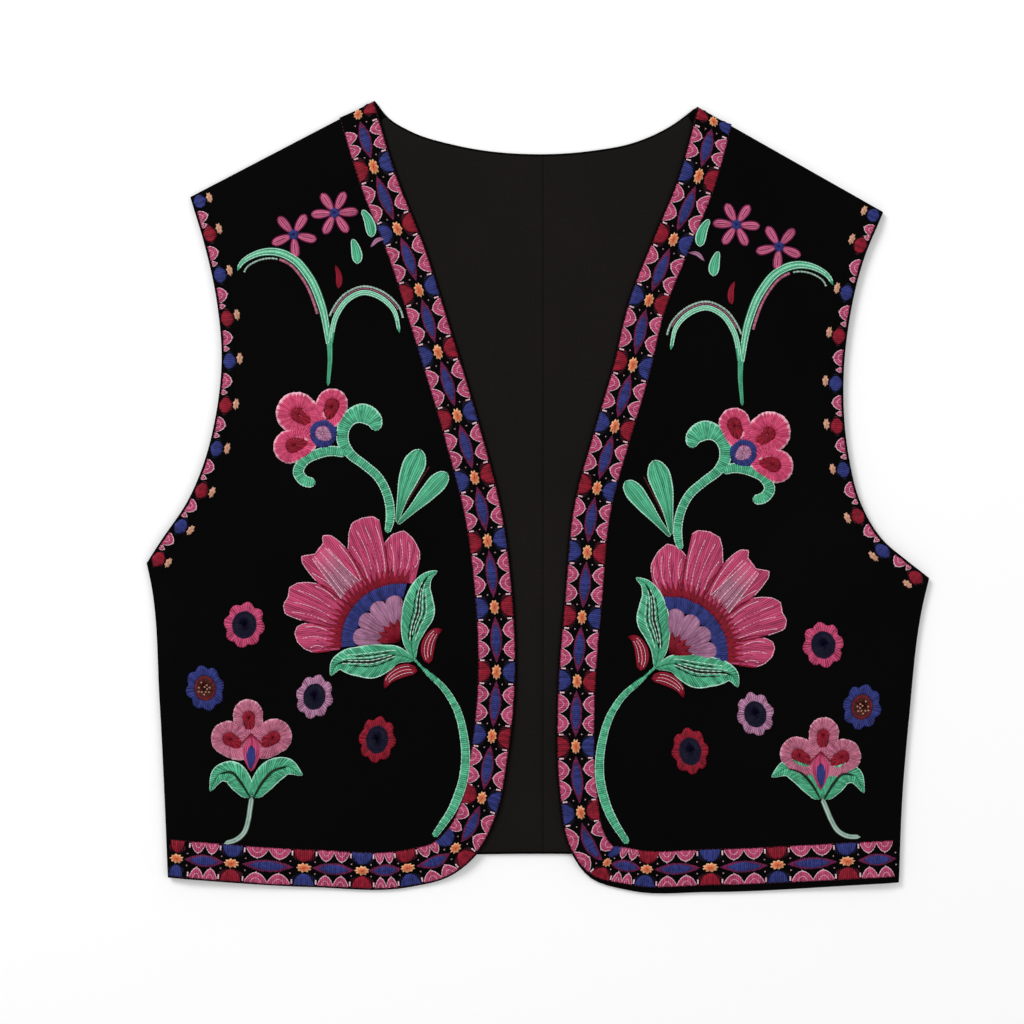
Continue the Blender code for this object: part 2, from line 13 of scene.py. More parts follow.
import bpy
import numpy as np
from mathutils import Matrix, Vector


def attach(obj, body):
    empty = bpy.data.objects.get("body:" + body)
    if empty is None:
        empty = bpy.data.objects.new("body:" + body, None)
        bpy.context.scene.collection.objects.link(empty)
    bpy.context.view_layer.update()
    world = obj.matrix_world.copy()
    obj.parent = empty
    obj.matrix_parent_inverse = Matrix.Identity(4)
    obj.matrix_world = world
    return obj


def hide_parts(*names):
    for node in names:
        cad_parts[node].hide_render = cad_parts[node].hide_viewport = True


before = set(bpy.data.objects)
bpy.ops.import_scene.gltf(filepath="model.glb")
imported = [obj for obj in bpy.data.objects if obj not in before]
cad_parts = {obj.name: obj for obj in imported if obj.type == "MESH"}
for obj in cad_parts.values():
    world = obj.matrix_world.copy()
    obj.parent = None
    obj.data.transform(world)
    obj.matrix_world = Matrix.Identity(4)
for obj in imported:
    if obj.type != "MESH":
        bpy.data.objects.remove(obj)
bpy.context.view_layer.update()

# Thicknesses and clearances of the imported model, in millimetres
CLOTH = 1.6
LINING = 1.0
GAP = 0.3
LINING_SEAM_INSET = 16.0
LINING_EDGE_INSET = 1.5
SEAM_ROLL = 10.0
HEM_FALL = 16.0
HEM_REACH = 3.0
FLOOR_CLEARANCE = 0.3
CROWN = 1.5
CROWN_START = 12.0
CROWN_RUN = 60.0
CENTRE_SEAM_X = 3.0
BACK_HEM_MIDDLE = -215.0
BACK_HEM_SIDE = -228.0
BACK_HEM_HALF = 220.0

# Points of each cloth grid, along and across
FRONT_GRID = (130, 56)
BACK_GRID = (160, 60)
LINING_GRID = (76, 84)

# Embroidery, in millimetres
BORDER_WIDTH = 23.5
SLANT_REACH = 30.0
EDGE_MARGIN = 1.2
PITCH = 1.25
VALLEY = 0.2
SUNK = 0.25
FRAY = 0.22
STRIP_RISE = 0.32

# The share of a dome's height that is left at its edge
EDGE_SHARE = 0.35

# How far apart the thread counts of a piece's patches start, so that no two patches share their shades
UV_STEP = 41.0

# Angles in radians past which an edge is sharp, or is rounded
SHARP_ANGLE = 1.1
ROUNDED_ANGLE = 1.0

Point = namedtuple("Point", "out y")
Row = namedtuple("Row", "out y width")
Disc = namedtuple("Disc", "out y radius")
Fold = namedtuple("Fold", "x_top y_top x_low y_low width height")
Side = namedtuple("Side", "name sign border side armhole knots discs slant drawn_in")

RIGHT = Side(
    name="right",
    sign=-1,
    border=(
        Point(98, 238), Point(85, 195), Point(67, 149), Point(51.5, 100), Point(34, 42),
        Point(21, -9), Point(14.5, -60), Point(13, -113), Point(17.5, -158), Point(24.5, -192),
        Point(36, -214), Point(53, -228.5), Point(77, -235), Point(137, -235), Point(222.5, -229),
    ),
    side=(Point(222.5, -229), Point(225, -170), Point(227.5, -122), Point(233, -50), Point(235.2, -40)),
    armhole=(
        Point(235.2, -40), Point(226, -26), Point(210, -2), Point(200, 22), Point(194, 46),
        Point(190, 82), Point(193, 118), Point(201, 154), Point(209, 180),
    ),
    knots=(4, 38, 77, 117, 156, 196, 235, 275, 316, 356, 396, 435, 476, 515, 545, 580, 624, 657),
    discs=(4.5, 25, 50, 76, 101, 127, 153, 179, 203, 227),
    slant=0.14,
    drawn_in=((0, 0), (700, 0)),
)

LEFT = Side(
    name="left",
    sign=1,
    border=(
        Point(95.5, 234.5), Point(83, 190), Point(69, 156), Point(54, 118), Point(44.5, 79),
        Point(33, 40), Point(21.5, -2), Point(15.5, -60), Point(11, -122), Point(12, -175),
        Point(19, -212), Point(31, -229), Point(55, -237), Point(103, -238), Point(217, -232),
    ),
    side=(Point(217, -232), Point(219, -182), Point(223, -134), Point(232, -62), Point(235.2, -49)),
    armhole=(
        Point(235.2, -49), Point(221, -38), Point(207, -26), Point(193, -2), Point(187, 22),
        Point(183.5, 70), Point(187, 106), Point(195.5, 142), Point(207.5, 171),
    ),
    knots=(4, 40, 80, 120, 161, 199, 238, 279, 318, 357, 397, 438, 486, 515, 555, 596, 638),
    discs=(4.5, 24, 53, 79, 107, 132, 158, 186, 210, 235),
    slant=0.24,
    drawn_in=((0, 0), (465, 0), (500, 2.4), (560, 3.4), (600, 3.6), (670, 2.6)),
)

# The back's neckline between the two neck points, x and y
NECKLINE = ((-90, 228), (-76, 219.5), (-50, 211.5), (0, 206), (32, 208), (58, 213), (80, 223))

# Soft folds of the lining where it shows between the fronts
LINING_FOLDS = (
    Fold(x_top=-8, y_top=60, x_low=-3, y_low=-205, width=9, height=1.1),
    Fold(x_top=18, y_top=150, x_low=2, y_low=-60, width=14, height=0.7),
    Fold(x_top=-40, y_top=185, x_low=-12, y_low=30, width=20, height=0.9),
)

SPRIG = (
    (Row(0.5, -33, 2.0), Row(-0.7, -16, 3.0), Row(0, 0, 4.0)),
    (
        Row(-0.3, -9, 3.4), Row(4.3, 15, 5.0), Row(12, 32.5, 5.4), Row(22, 43.5, 5.4),
        Row(33, 47.5, 5.0), Row(44, 46, 4.0), Row(53, 40, 2.6), Row(55, 36, 1.4),
    ),
    (
        Row(-0.6, -9, 3.0), Row(-5, 10, 3.4), Row(-11.7, 19, 3.4), Row(-21, 23, 3.4),
        Row(-30, 20.5, 3.4), Row(-38.5, 13, 3.0), Row(-42.4, -1, 1.8),
    ),
)
# How much taller the left front's sprig is
SPRIG_LEFT_TALLER = 1.05
SCROLL = (
    (
        Row(-18.6, 13.6, 5.0), Row(-17, 19.6, 9.6), Row(-10.2, 23.8, 11.4), Row(-3.4, 21.8, 9.2),
        Row(1.2, 15.4, 7.4), Row(1.6, 6.4, 6.8), Row(-2.6, -0.4, 5.6), Row(-11, -7, 5.0),
        Row(-19.5, -14.6, 5.0),
        Row(-24.5, -24, 5.0), Row(-26.6, -34, 5.0), Row(-26.2, -42, 4.6), Row(-24.8, -47.6, 3.0),
    ),
    (
        Row(0, -0.4, 5.0), Row(7.4, 1.3, 5.6), Row(16.7, -0.4, 5.6), Row(26, -5.6, 5.8),
        Row(28.5, -11.5, 6.2), Row(25, -16.5, 6.2), Row(18.5, -18, 5.5),
    ),
)
MIDDLE_LOBES = (Disc(16.8, 13.2, 12.4), Disc(-4.6, 18.4, 9.4), Disc(20.8, -7.2, 10.0))
MIDDLE_HEARTS = (Disc(16, 12.2, 4.8), Disc(-4.8, 17.6, 4.8), Disc(19, -6.6, 5.0))
LEAF_PAIR = (
    (Row(0, 1, 1.6), Row(-3.2, 15, 6.0), Row(-7.6, 29, 12.0), Row(-11.4, 38, 12.6), Row(-14.2, 44.5, 5.6)),
    (Row(-0.6, 0, 1.6), Row(-9.5, 9, 4.8), Row(-18.5, 18.5, 9.2), Row(-25.5, 26, 10.2), Row(-30, 30.5, 5.8)),
)
# The outline of each of the bloom's petals, as angles in degrees with the radius there
BLOOM_PETALS = (
    ((104, 48), (102.5, 55.5), (97, 63), (92, 67), (86, 65), (81, 60)),
    ((81, 60), (80.6, 74), (78, 77), (73, 78), (68, 77), (65, 72.5), (62.5, 67), (60.5, 63.5)),
    ((60.5, 63.5), (58.6, 72), (57, 76.5), (54, 79), (52, 75), (46, 73.5), (43, 76.5), (41, 78.5), (39, 75.5),
     (37, 67), (35.7, 60)),
    ((35.7, 60), (33, 66), (30, 71), (26.5, 74), (22, 72.5), (17.6, 73.5), (13.8, 71), (12.8, 64), (12, 54)),
    ((12, 54), (11.2, 58.5), (8.5, 62.5), (5, 63.5), (0, 61.5), (-4, 57.5), (-7, 52)),
)
BLOOM_REACHES = (0, 26, 36, 48, 80)
BLOOM_LOW = (-5, -5, -5, -6, -7)
BLOOM_HIGH = (93, 94, 97, 101, 104)
BLOOM_LEAVES = (
    (
        Row(0.6, 0.6, 2.0), Row(2.2, 12, 10.4), Row(0.6, 21, 16.0), Row(-2.1, 29.4, 19.6),
        Row(-2.6, 36, 17.0), Row(-4.4, 45, 10.6), Row(-7.6, 50, 6.0), Row(-13.2, 53.4, 1.2),
    ),
    (
        Row(0.8, 0.2, 2.0), Row(12, 3.0, 11.6), Row(19.2, 1.0, 17.2), Row(25.8, -0.6, 20.4),
        Row(34.2, -0.8, 17.6), Row(40.8, -0.8, 14.6), Row(46.2, -2.2, 9.0), Row(50.4, -9, 1.2),
    ),
)
BLOOM_STEM = (
    Row(0.6, 0.8, 1.6), Row(-4.2, -4.4, 1.6), Row(-8.5, -8.6, 3.0), Row(-17, -16.5, 3.8),
    Row(-24.8, -29, 4.4), Row(-29.4, -46, 5.0), Row(-30, -66, 5.6), Row(-23.2, -88, 5.4),
    Row(-11.4, -106, 3.8),
)
INNER_SEPAL = (
    Row(-8.4, -2.0, 4), Row(-7.4, 5.2, 8), Row(-9.4, 13, 7.4), Row(-13, 17.2, 4.6), Row(-16.6, 18, 1),
)
LOWER_SEPAL = (
    Row(-1.4, -6.6, 4), Row(4.4, -5.8, 7.6), Row(10.4, -7.6, 7.8), Row(16, -12, 5), Row(18.2, -17.2, 1),
)
LOWER_LOBES = (Disc(1.7, 25.6, 9.0), Disc(13.6, 11.2, 10.4), Disc(-14.3, 12.6, 10.4))
LOWER_HEARTS = (Disc(1.2, 24.0, 4.2), Disc(13.0, 10.8, 4.6), Disc(-13.8, 11.8, 4.6))
LOWER_THROAT = (
    Row(-0.4, 14, 1.0), Row(-0.8, 9, 8), Row(-0.6, 4.6, 11.5), Row(-0.4, 0, 10), Row(-0.4, -4.4, 6),
    Row(-0.4, -8.6, 2),
)
LOWER_TONGUE = (
    Row(-0.4, 7.2, 2.4), Row(-0.4, 3.6, 5.4), Row(-0.2, 0, 6), Row(-0.2, -3.6, 4.2), Row(0, -7, 1.8),
)
LOWER_LEAVES = (
    (Row(1.4, 0.4, 6.4), Row(6.8, 9, 13), Row(12.5, 15.2, 13.4), Row(19, 14.4, 10.4), Row(25.4, 4, 1.2)),
    (Row(-1, 0.4, 6.4), Row(-6, 9, 13), Row(-12.5, 16, 14.2), Row(-20.5, 18.6, 10.6), Row(-30, 13.6, 1.2)),
)
LOWER_STEM = (
    Row(0.3, 0.6, 3), Row(1.6, -8, 3), Row(2.6, -14, 3), Row(5, -21, 3), Row(9.5, -25.2, 3),
    Row(17, -27.6, 2.6),
)
# Each dash's place on the right front and on the left, and its rows
GREEN_DASHES = (
    (
        (102.3, 163.8), (99.6, 158.1),
        (Row(3, 8, 2.4), Row(-0.6, 2, 5.4), Row(-2.2, -4, 6.0), Row(-2.4, -8, 3.4)),
    ),
    (
        (109.2, 146.9), (106.2, 139.5),
        (Row(2, 7.4, 2.2), Row(0.2, 2, 5.2), Row(-0.8, -3.6, 6.0), Row(-0.8, -7.2, 3.4)),
    ),
)
FLAME = (Row(1.5, 7, 1.4), Row(-0.4, 2, 3.4), Row(-0.8, -3, 4.0), Row(-0.2, -7, 2.0))
CURL = (Row(-5, 2.6, 1.0), Row(0, 2.0, 2.8), Row(4.4, -2.4, 1.4))
FLORET_RADIUS = 12.4
FLORET_LOBES = 8
FLORET_DIP = 0.16
FLORET_EYE = 6.8
BEADS = 16


def ease(share):
    """0 up to 1 along half a cosine wave, flat at both ends."""
    return 0.5 - 0.5 * np.cos(np.pi * np.clip(share, 0, 1))


def lengths_along(path):
    """How far each point lies along its path, in the plane."""
    steps = np.linalg.norm(np.diff(path[:, :2], axis=0), axis=1)
    return np.concatenate([[0], np.cumsum(steps)])


def spaced(path, step):
    """The path again, with its points evenly about one step apart."""
    along = lengths_along(path)
    count = max(3, round(along[-1] / step) + 1)
    even = np.linspace(0, along[-1], count)
    return np.column_stack([np.interp(even, along, column) for column in path.T])


def smooth_path(rows, step):
    """Rows about one step apart on a cubic curve through the given rows.

    Each stretch is h00 a + h10 m + h01 b + h11 n of its ends a and b and their slopes m and n. The slopes
    come from the neighbours.
    """
    knots = np.array(rows, float)
    at = lengths_along(knots)
    slopes = np.gradient(knots, at, axis=0)
    fine = np.linspace(0, at[-1], 30 * len(knots))
    k = np.clip(np.searchsorted(at, fine, side="right") - 1, 0, len(at) - 2)
    h = (at[k + 1] - at[k])[:, None]
    s = (fine - at[k])[:, None] / h
    curve = (
        (2 * s**3 - 3 * s**2 + 1) * knots[k]
        + (s**3 - 2 * s**2 + s) * h * slopes[k]
        + (3 * s**2 - 2 * s**3) * knots[k + 1]
        + (s**3 - s**2) * h * slopes[k + 1]
    )
    return spaced(curve, step)


def left_normals(path):
    """Unit normals to the left of the way along the path."""
    way = np.gradient(path[:, :2], axis=0)
    way /= np.maximum(np.linalg.norm(way, axis=1), 1e-9)[:, None]
    return np.column_stack([-way[:, 1], way[:, 0]])


def resampled(path, count):
    """The path again with this many points, evenly apart."""
    along = lengths_along(path)
    even = np.linspace(0, along[-1], count)
    return np.column_stack([np.interp(even, along, column) for column in path.T])


def distance_to(path, points):
    """Least distance from each point to the straight stretches of a path."""
    start = path[:-1]
    span = np.diff(path, axis=0)
    to_point = points[:, None] - start[None]
    share = (to_point * span).sum(axis=2) / np.maximum((span**2).sum(axis=1), 1e-12)
    nearest = start[None] + np.clip(share, 0, 1)[:, :, None] * span[None]
    return np.linalg.norm(points[:, None] - nearest, axis=2).min(axis=1)


def back_hem_y(out):
    """Height of the back's hem at a distance from the middle."""
    return BACK_HEM_MIDDLE + (BACK_HEM_SIDE - BACK_HEM_MIDDLE) * (out / BACK_HEM_HALF) ** 2


def edges_of(side, step):
    """The four edges of a front, in order round it with the cloth on their left."""
    border = smooth_path(side.border, step)
    seam = smooth_path(side.side, step)
    armhole = smooth_path(side.armhole, step)
    shoulder = spaced(np.array([side.armhole[-1], side.border[0]], float), step)
    return border, seam, armhole, shoulder


EDGES = {side.name: edges_of(side, 6.0) for side in (RIGHT, LEFT)}


def front_top(side, points):
    """Height of a front's upper face, in millimetres.

    It runs over the lining, eases down to the back at the seams, and eases down again past the back's hem.
    """
    border, seam, armhole, shoulder = EDGES[side.name]
    to_seam = np.minimum(distance_to(seam, points), distance_to(shoulder, points))
    to_edge = np.minimum(np.minimum(to_seam, distance_to(border, points)), distance_to(armhole, points))
    on_back = CLOTH + GAP
    on_lining = on_back + LINING + GAP
    laid = on_back + (on_lining - on_back) * ease(to_seam / SEAM_ROLL)
    fall = ease((back_hem_y(points[:, 0]) - HEM_REACH - points[:, 1]) / HEM_FALL)
    crown = CROWN * ease((to_edge - CROWN_START) / CROWN_RUN)
    return FLOOR_CLEARANCE + (laid - FLOOR_CLEARANCE) * (1 - fall) + crown + CLOTH


# Materials

def linear(red, green, blue):
    """A colour given in the 0 to 255 values of a picture, as the shader's linear values."""
    share = np.array([red, green, blue]) / 255
    values = np.where(share <= 0.04045, share / 12.92, ((share + 0.055) / 1.055) ** 2.4)
    return (*values, 1.0)


def group_named(name, inputs, outputs):
    """An empty shader node group with its sockets, and its input and output nodes."""
    group = bpy.data.node_groups.new(name, "ShaderNodeTree")
    for label, kind in inputs:
        group.interface.new_socket(name=label, in_out="INPUT", socket_type=kind)
    for label, kind in outputs:
        group.interface.new_socket(name=label, in_out="OUTPUT", socket_type=kind)
    return group, group.nodes.new("NodeGroupInput"), group.nodes.new("NodeGroupOutput")


def node_of(tree, kind, **settings):
    """A new node with its own properties set."""
    node = tree.nodes.new(kind)
    for key, value in settings.items():
        setattr(node, key, value)
    return node


def maths(tree, operation, first, second=None, clamp=False):
    """A maths node, fed by sockets or plain numbers."""
    node = node_of(tree, "ShaderNodeMath", operation=operation, use_clamp=clamp)
    for index, value in enumerate((first, second)):
        if value is None:
            continue
        if isinstance(value, (int, float)):
            node.inputs[index].default_value = value
        else:
            tree.links.new(value, node.inputs[index])
    return node.outputs[0]


def mixed(tree, factor, first, second):
    """A colour mix node, fed by sockets or plain colours."""
    node = node_of(tree, "ShaderNodeMix", data_type="RGBA", blend_type="MIX")
    for index, value in ((0, factor), (6, first), (7, second)):
        if isinstance(value, (int, float, tuple)):
            node.inputs[index].default_value = value
        else:
            tree.links.new(value, node.inputs[index])
    return node.outputs[2]


def weighted(tree, *terms):
    """The sum of values, each times its weight."""
    total = None
    for value, weight in terms:
        part = maths(tree, "MULTIPLY", value, weight)
        total = part if total is None else maths(tree, "ADD", total, part)
    return total


def noise_of(tree, vector, scale, detail):
    """A noise value that changes over a vector."""
    node = node_of(tree, "ShaderNodeTexNoise")
    node.inputs["Scale"].default_value = scale
    node.inputs["Detail"].default_value = detail
    tree.links.new(vector, node.inputs["Vector"])
    return node.outputs["Fac"]


def stretched(tree, across, across_scale, along, along_scale):
    """A flat vector from two values, each times its own scale."""
    node = node_of(tree, "ShaderNodeCombineXYZ")
    tree.links.new(maths(tree, "MULTIPLY", across, across_scale), node.inputs[0])
    tree.links.new(maths(tree, "MULTIPLY", along, along_scale), node.inputs[1])
    return node.outputs[0]


def thread_group():
    """Satin thread: its own tone, painted shade in the valley to the next thread and a painted highlight on
    its crest, and fine fibres along it.
    """
    group, given, made = group_named(
        "satin_thread",
        (("Thread", "NodeSocketVector"), ("Deep", "NodeSocketColor"), ("Bright", "NodeSocketColor"),
         ("Tip", "NodeSocketColor"), ("Tip Reach", "NodeSocketFloat")),
        (("Color", "NodeSocketColor"), ("Roughness", "NodeSocketFloat"), ("Height", "NodeSocketFloat")),
    )
    apart = node_of(group, "ShaderNodeSeparateXYZ")
    group.links.new(given.outputs["Thread"], apart.inputs[0])
    across, along = apart.outputs[0], apart.outputs[1]
    own = node_of(group, "ShaderNodeTexWhiteNoise", noise_dimensions="1D")
    group.links.new(maths(group, "FLOOR", across), own.inputs["W"])
    shade = own.outputs["Value"]
    crest = maths(group, "SINE", maths(group, "MULTIPLY", maths(group, "FRACT", across), float(np.pi)))
    fibres = noise_of(group, stretched(group, across, 3.0, along, 5.0), 1.0, 3.0)
    bands = noise_of(group, stretched(group, across, 0.55, along, 3.0), 1.0, 1.0)
    # The crest term paints shade into the valleys between threads and a highlight on their crests; the other
    # terms are each thread's own tone, its fibres and broad bands.
    lit = weighted(group, (crest, 0.62), (shade, 0.4), (fibres, 0.4), (bands, 0.9))
    lit = maths(group, "SUBTRACT", lit, 0.72, clamp=True)
    toned = mixed(group, lit, given.outputs["Deep"], given.outputs["Bright"])
    ragged = maths(group, "ADD", along, maths(group, "MULTIPLY", shade, 0.16))
    past = maths(group, "SUBTRACT", ragged, maths(group, "SUBTRACT", 1.08, given.outputs["Tip Reach"]))
    fade = maths(group, "ADD", given.outputs["Tip Reach"], 0.02)
    tipped = mixed(group, maths(group, "DIVIDE", past, fade, clamp=True), toned, given.outputs["Tip"])
    rough = maths(group, "SUBTRACT", 0.62, maths(group, "MULTIPLY", crest, 0.14))
    group.links.new(tipped, made.inputs["Color"])
    group.links.new(rough, made.inputs["Roughness"])
    group.links.new(weighted(group, (crest, 0.7), (fibres, 0.3)), made.inputs["Height"])
    return group


def cloth_group():
    """Woven cloth: a fine criss-cross of yarns, a scatter of lint, and broad soft changes of tone."""
    group, given, made = group_named(
        "woven_cloth",
        (("Place", "NodeSocketVector"), ("Deep", "NodeSocketColor"), ("Bright", "NodeSocketColor"),
         ("Yarns", "NodeSocketFloat")),
        (("Color", "NodeSocketColor"), ("Roughness", "NodeSocketFloat"), ("Height", "NodeSocketFloat")),
    )
    waves = []
    for direction in ("X", "Y"):
        wave = node_of(group, "ShaderNodeTexWave", wave_type="BANDS", bands_direction=direction)
        group.links.new(given.outputs["Place"], wave.inputs["Vector"])
        group.links.new(given.outputs["Yarns"], wave.inputs["Scale"])
        wave.inputs["Distortion"].default_value = 0.6
        waves.append(wave.outputs["Fac"])
    weave = maths(group, "MAXIMUM", *waves)
    broad = noise_of(group, given.outputs["Place"], 9.0, 4.0)
    lint = noise_of(group, given.outputs["Place"], 900.0, 2.0)
    lit = weighted(group, (weave, 0.3), (lint, 0.35), (broad, 0.5))
    lit = maths(group, "SUBTRACT", lit, 0.1, clamp=True)
    toned = mixed(group, lit, given.outputs["Deep"], given.outputs["Bright"])
    rough = maths(group, "ADD", 0.78, maths(group, "MULTIPLY", lint, 0.15))
    group.links.new(toned, made.inputs["Color"])
    group.links.new(rough, made.inputs["Roughness"])
    group.links.new(weighted(group, (weave, 0.6), (lint, 0.4)), made.inputs["Height"])
    return group


THREAD = thread_group()
WEAVE = cloth_group()


def finished(name, group, vector, values, bump, sheen, sheen_tint, gloss):
    """A material whose colour, roughness and bump come from a shared group."""
    material = bpy.data.materials.new(name)
    material.use_nodes = True
    tree = material.node_tree
    shader = tree.nodes["Principled BSDF"]
    used = node_of(tree, "ShaderNodeGroup")
    used.node_tree = group
    tree.links.new(vector(tree), used.inputs[0])
    for label, value in values.items():
        used.inputs[label].default_value = value
    raised = node_of(tree, "ShaderNodeBump")
    raised.inputs["Strength"].default_value = bump
    raised.inputs["Distance"].default_value = 0.0004
    tree.links.new(used.outputs["Height"], raised.inputs["Height"])
    tree.links.new(used.outputs["Color"], shader.inputs["Base Color"])
    tree.links.new(used.outputs["Roughness"], shader.inputs["Roughness"])
    tree.links.new(raised.outputs["Normal"], shader.inputs["Normal"])
    shader.inputs["Sheen Weight"].default_value = sheen
    shader.inputs["Sheen Roughness"].default_value = 0.45
    shader.inputs["Sheen Tint"].default_value = sheen_tint
    shader.inputs["Specular IOR Level"].default_value = gloss
    return material


def from_thread_map(tree):
    """The piece's own map: threads counted across, and 0 to 1 along each."""
    node = node_of(tree, "ShaderNodeUVMap", uv_map="thread")
    return node.outputs[0]


def from_object(tree):
    """The object's own coordinates."""
    node = node_of(tree, "ShaderNodeTexCoord")
    return node.outputs["Object"]


def thread_material(name, deep, bright, tip=None, tip_reach=0.0, sheen=0.12):
    """Satin thread in two tones, mixed partly as painted shade in its valleys and a painted highlight on its
    crests, with paler ends where a tip colour is given.
    """
    values = {"Deep": linear(*deep), "Bright": linear(*bright), "Tip": linear(*(tip or bright)),
              "Tip Reach": tip_reach}
    return finished(name, THREAD, from_thread_map, values, 0.6, sheen, linear(*bright), 0.12)


def cloth_material(name, deep, bright, yarns, sheen):
    """Woven cloth in two tones, with its yarns to the metre."""
    values = {"Deep": linear(*deep), "Bright": linear(*bright), "Yarns": yarns}
    return finished(name, WEAVE, from_object, values, 0.35, sheen, linear(*bright), 0.015)


# Each thread's deep and bright tones, then its tip's tone and reach, and its sheen where that is its own
# The deep tone is partly painted shade in the valleys between threads, and the bright tone partly a painted
# highlight on their crests.
THREADS = {
    "pink": ((100, 14, 46), (204, 78, 120)),
    "pink_fringed": ((128, 20, 54), (222, 84, 124), (240, 188, 204), 0.2),
    "scallop_pink": ((98, 20, 50), (196, 80, 120)),
    "star_pink": ((100, 34, 60), (206, 102, 138), (218, 136, 162), 0.12),
    "mauve": ((108, 44, 66), (198, 116, 142), (220, 162, 178), 0.14),
    "lilac": ((84, 40, 66), (188, 134, 168)),
    "silver": ((92, 40, 62), (176, 120, 142), (200, 76, 118), 0.55),
    "pale": ((176, 116, 138), (242, 208, 216)),
    "pale_green": ((112, 184, 154), (212, 240, 226)),
    "green": ((14, 76, 54), (92, 192, 148), (150, 218, 190), 0.1),
    "grey_green": ((78, 108, 96), (184, 208, 196)),
    "crimson": ((56, 3, 13), (152, 20, 44)),
    "dark_crimson": ((22, 2, 10), (72, 10, 30)),
    "brown": ((20, 7, 7), (86, 34, 30)),
    "blue": ((12, 15, 46), (50, 58, 130)),
    "navy": ((2, 1, 9), (15, 12, 44), None, 0.0, 0.04),
    "purple": ((40, 6, 28), (116, 28, 76)),
    "orange": ((176, 72, 50), (236, 142, 96), (244, 196, 148), 0.4),
    "peach": ((160, 102, 78), (232, 184, 156)),
    "dark_green": ((6, 12, 8), (30, 40, 30)),
}
MATERIALS = {
    "black_cloth": cloth_material("black_cloth", (2, 2, 2), (10, 9, 9), 260.0, 0.0),
    "charcoal_lining": cloth_material("charcoal_lining", (13, 13, 11), (31, 28, 26), 420.0, 0.01),
}
MATERIALS.update({name: thread_material(name, *tones) for name, tones in THREADS.items()})


# Stitches

def patch(plan, rise, threads, closed=False, lift=0.0, uv=None, under=(0, -1)):
    """A closed body from a grid of plan points and its rise. The first axis crosses the threads.

    Its underside joins only some columns of the grid, the first and the last unless others are named.
    """
    ns, nt = rise.shape
    if uv is None:
        uv = np.stack(np.meshgrid(np.linspace(0, threads, ns), np.linspace(0, 1, nt), indexing="ij"), axis=-1)
    step_s = np.diff(plan, axis=0)[:, :-1]
    step_t = np.diff(plan, axis=1)[:-1]
    turn = step_s[..., 0] * step_t[..., 1] - step_s[..., 1] * step_t[..., 0]
    if turn.sum() < 0:
        plan, rise, uv = plan[::-1], rise[::-1], uv[::-1]
    under = list(under)
    index = np.arange(ns * nt).reshape(ns, nt)
    low = ns * nt + np.arange(ns * len(under)).reshape(ns, len(under))
    ends = np.array([[*index[0], *low[0, ::-1]], [*index[-1, ::-1], *low[-1]]])
    if closed:
        index, low, ends = np.vstack([index, index[:1]]), np.vstack([low, low[:1]]), ends[:0]
    quads = [
        np.stack([index[:-1, :-1], index[1:, :-1], index[1:, 1:], index[:-1, 1:]], axis=-1),
        np.stack([low[:-1, :-1], low[:-1, 1:], low[1:, 1:], low[1:, :-1]], axis=-1),
        np.stack([index[1:, 0], index[:-1, 0], low[:-1, 0], low[1:, 0]], axis=-1),
        np.stack([index[:-1, -1], index[1:, -1], low[1:, -1], low[:-1, -1]], axis=-1),
    ]
    return {
        "plan": np.vstack([plan.reshape(-1, 2), plan[:, under].reshape(-1, 2)]),
        "rise": np.concatenate([lift + rise.ravel(), np.full(ns * len(under), -SUNK)]),
        "uv": np.vstack([uv.reshape(-1, 2), uv[:, under].reshape(-1, 2)]),
        "quads": np.vstack([q.reshape(-1, 4) for q in quads]),
        "ends": ends,
    }


def thread_valleys(ns, nt):
    """The depth between threads at each grid point: deep at even rows, none at the crests."""
    return VALLEY * (np.arange(ns) % 2 == 0)[:, None] * np.ones(nt)


def domed(ns, nt, height, edge=EDGE_SHARE, ends=0.0):
    """A dome along the threads, falling to a share of its height at their ends, and at the outer threads."""
    t = np.linspace(-1, 1, nt)[None]
    s = np.linspace(-1, 1, ns)[:, None]
    over_t = edge + (1 - edge) * np.sqrt(np.clip(1 - np.abs(t) ** 3, 0, 1))
    over_s = 1 - ends * np.abs(s) ** 6
    return height * over_t * over_s - thread_valleys(ns, nt)


def frayed(plan, amount, chance):
    """The plan with the end of every thread a little long or short."""
    threads = (len(plan) + 1) // 2
    for end, neighbour in ((0, 1), (-1, -2)):
        reach = np.repeat(chance.uniform(-amount, amount, threads + 1), 2)[: len(plan), None]
        way = plan[:, end] - plan[:, neighbour]
        plan[:, end] = plan[:, end] + way / np.maximum(np.linalg.norm(way, axis=1), 0.05)[:, None] * reach
    return plan


def satin(first, second, height, chance, nt=8, lift=0.0, closed=False, edge=EDGE_SHARE, ends=0.0, fray=FRAY):
    """Threads from one line of points to another, which has as many points."""
    t = np.linspace(0, 1, nt)[None, :, None]
    plan = frayed(first[:, None] * (1 - t) + second[:, None] * t, fray, chance)
    ns = len(first)
    return patch(plan, domed(ns, nt, height, edge, ends), ns / 2, closed, lift)


def rounded_half(path):
    """Half the width of a stroke along its path, drawn in to a round end where it is broad."""
    along = lengths_along(path)
    half = path[:, 2] / 2
    for to_end, reach in ((along, max(half[0], 0.4)), (along[-1] - along, max(half[-1], 0.4))):
        half = half * np.sqrt(np.clip(1 - np.clip(1 - to_end / reach, 0, 1) ** 2, 0.02, 1))
    return half


def cross_stitched(rows, height, chance, lift=0.0):
    """A stroke whose threads run across it."""
    path = smooth_path(rows, PITCH / 2)
    if len(path) % 2 == 0:
        path = resampled(path, len(path) + 1)
    reach = left_normals(path) * rounded_half(path)[:, None]
    return satin(path[:, :2] - reach, path[:, :2] + reach, height, chance, lift=lift)


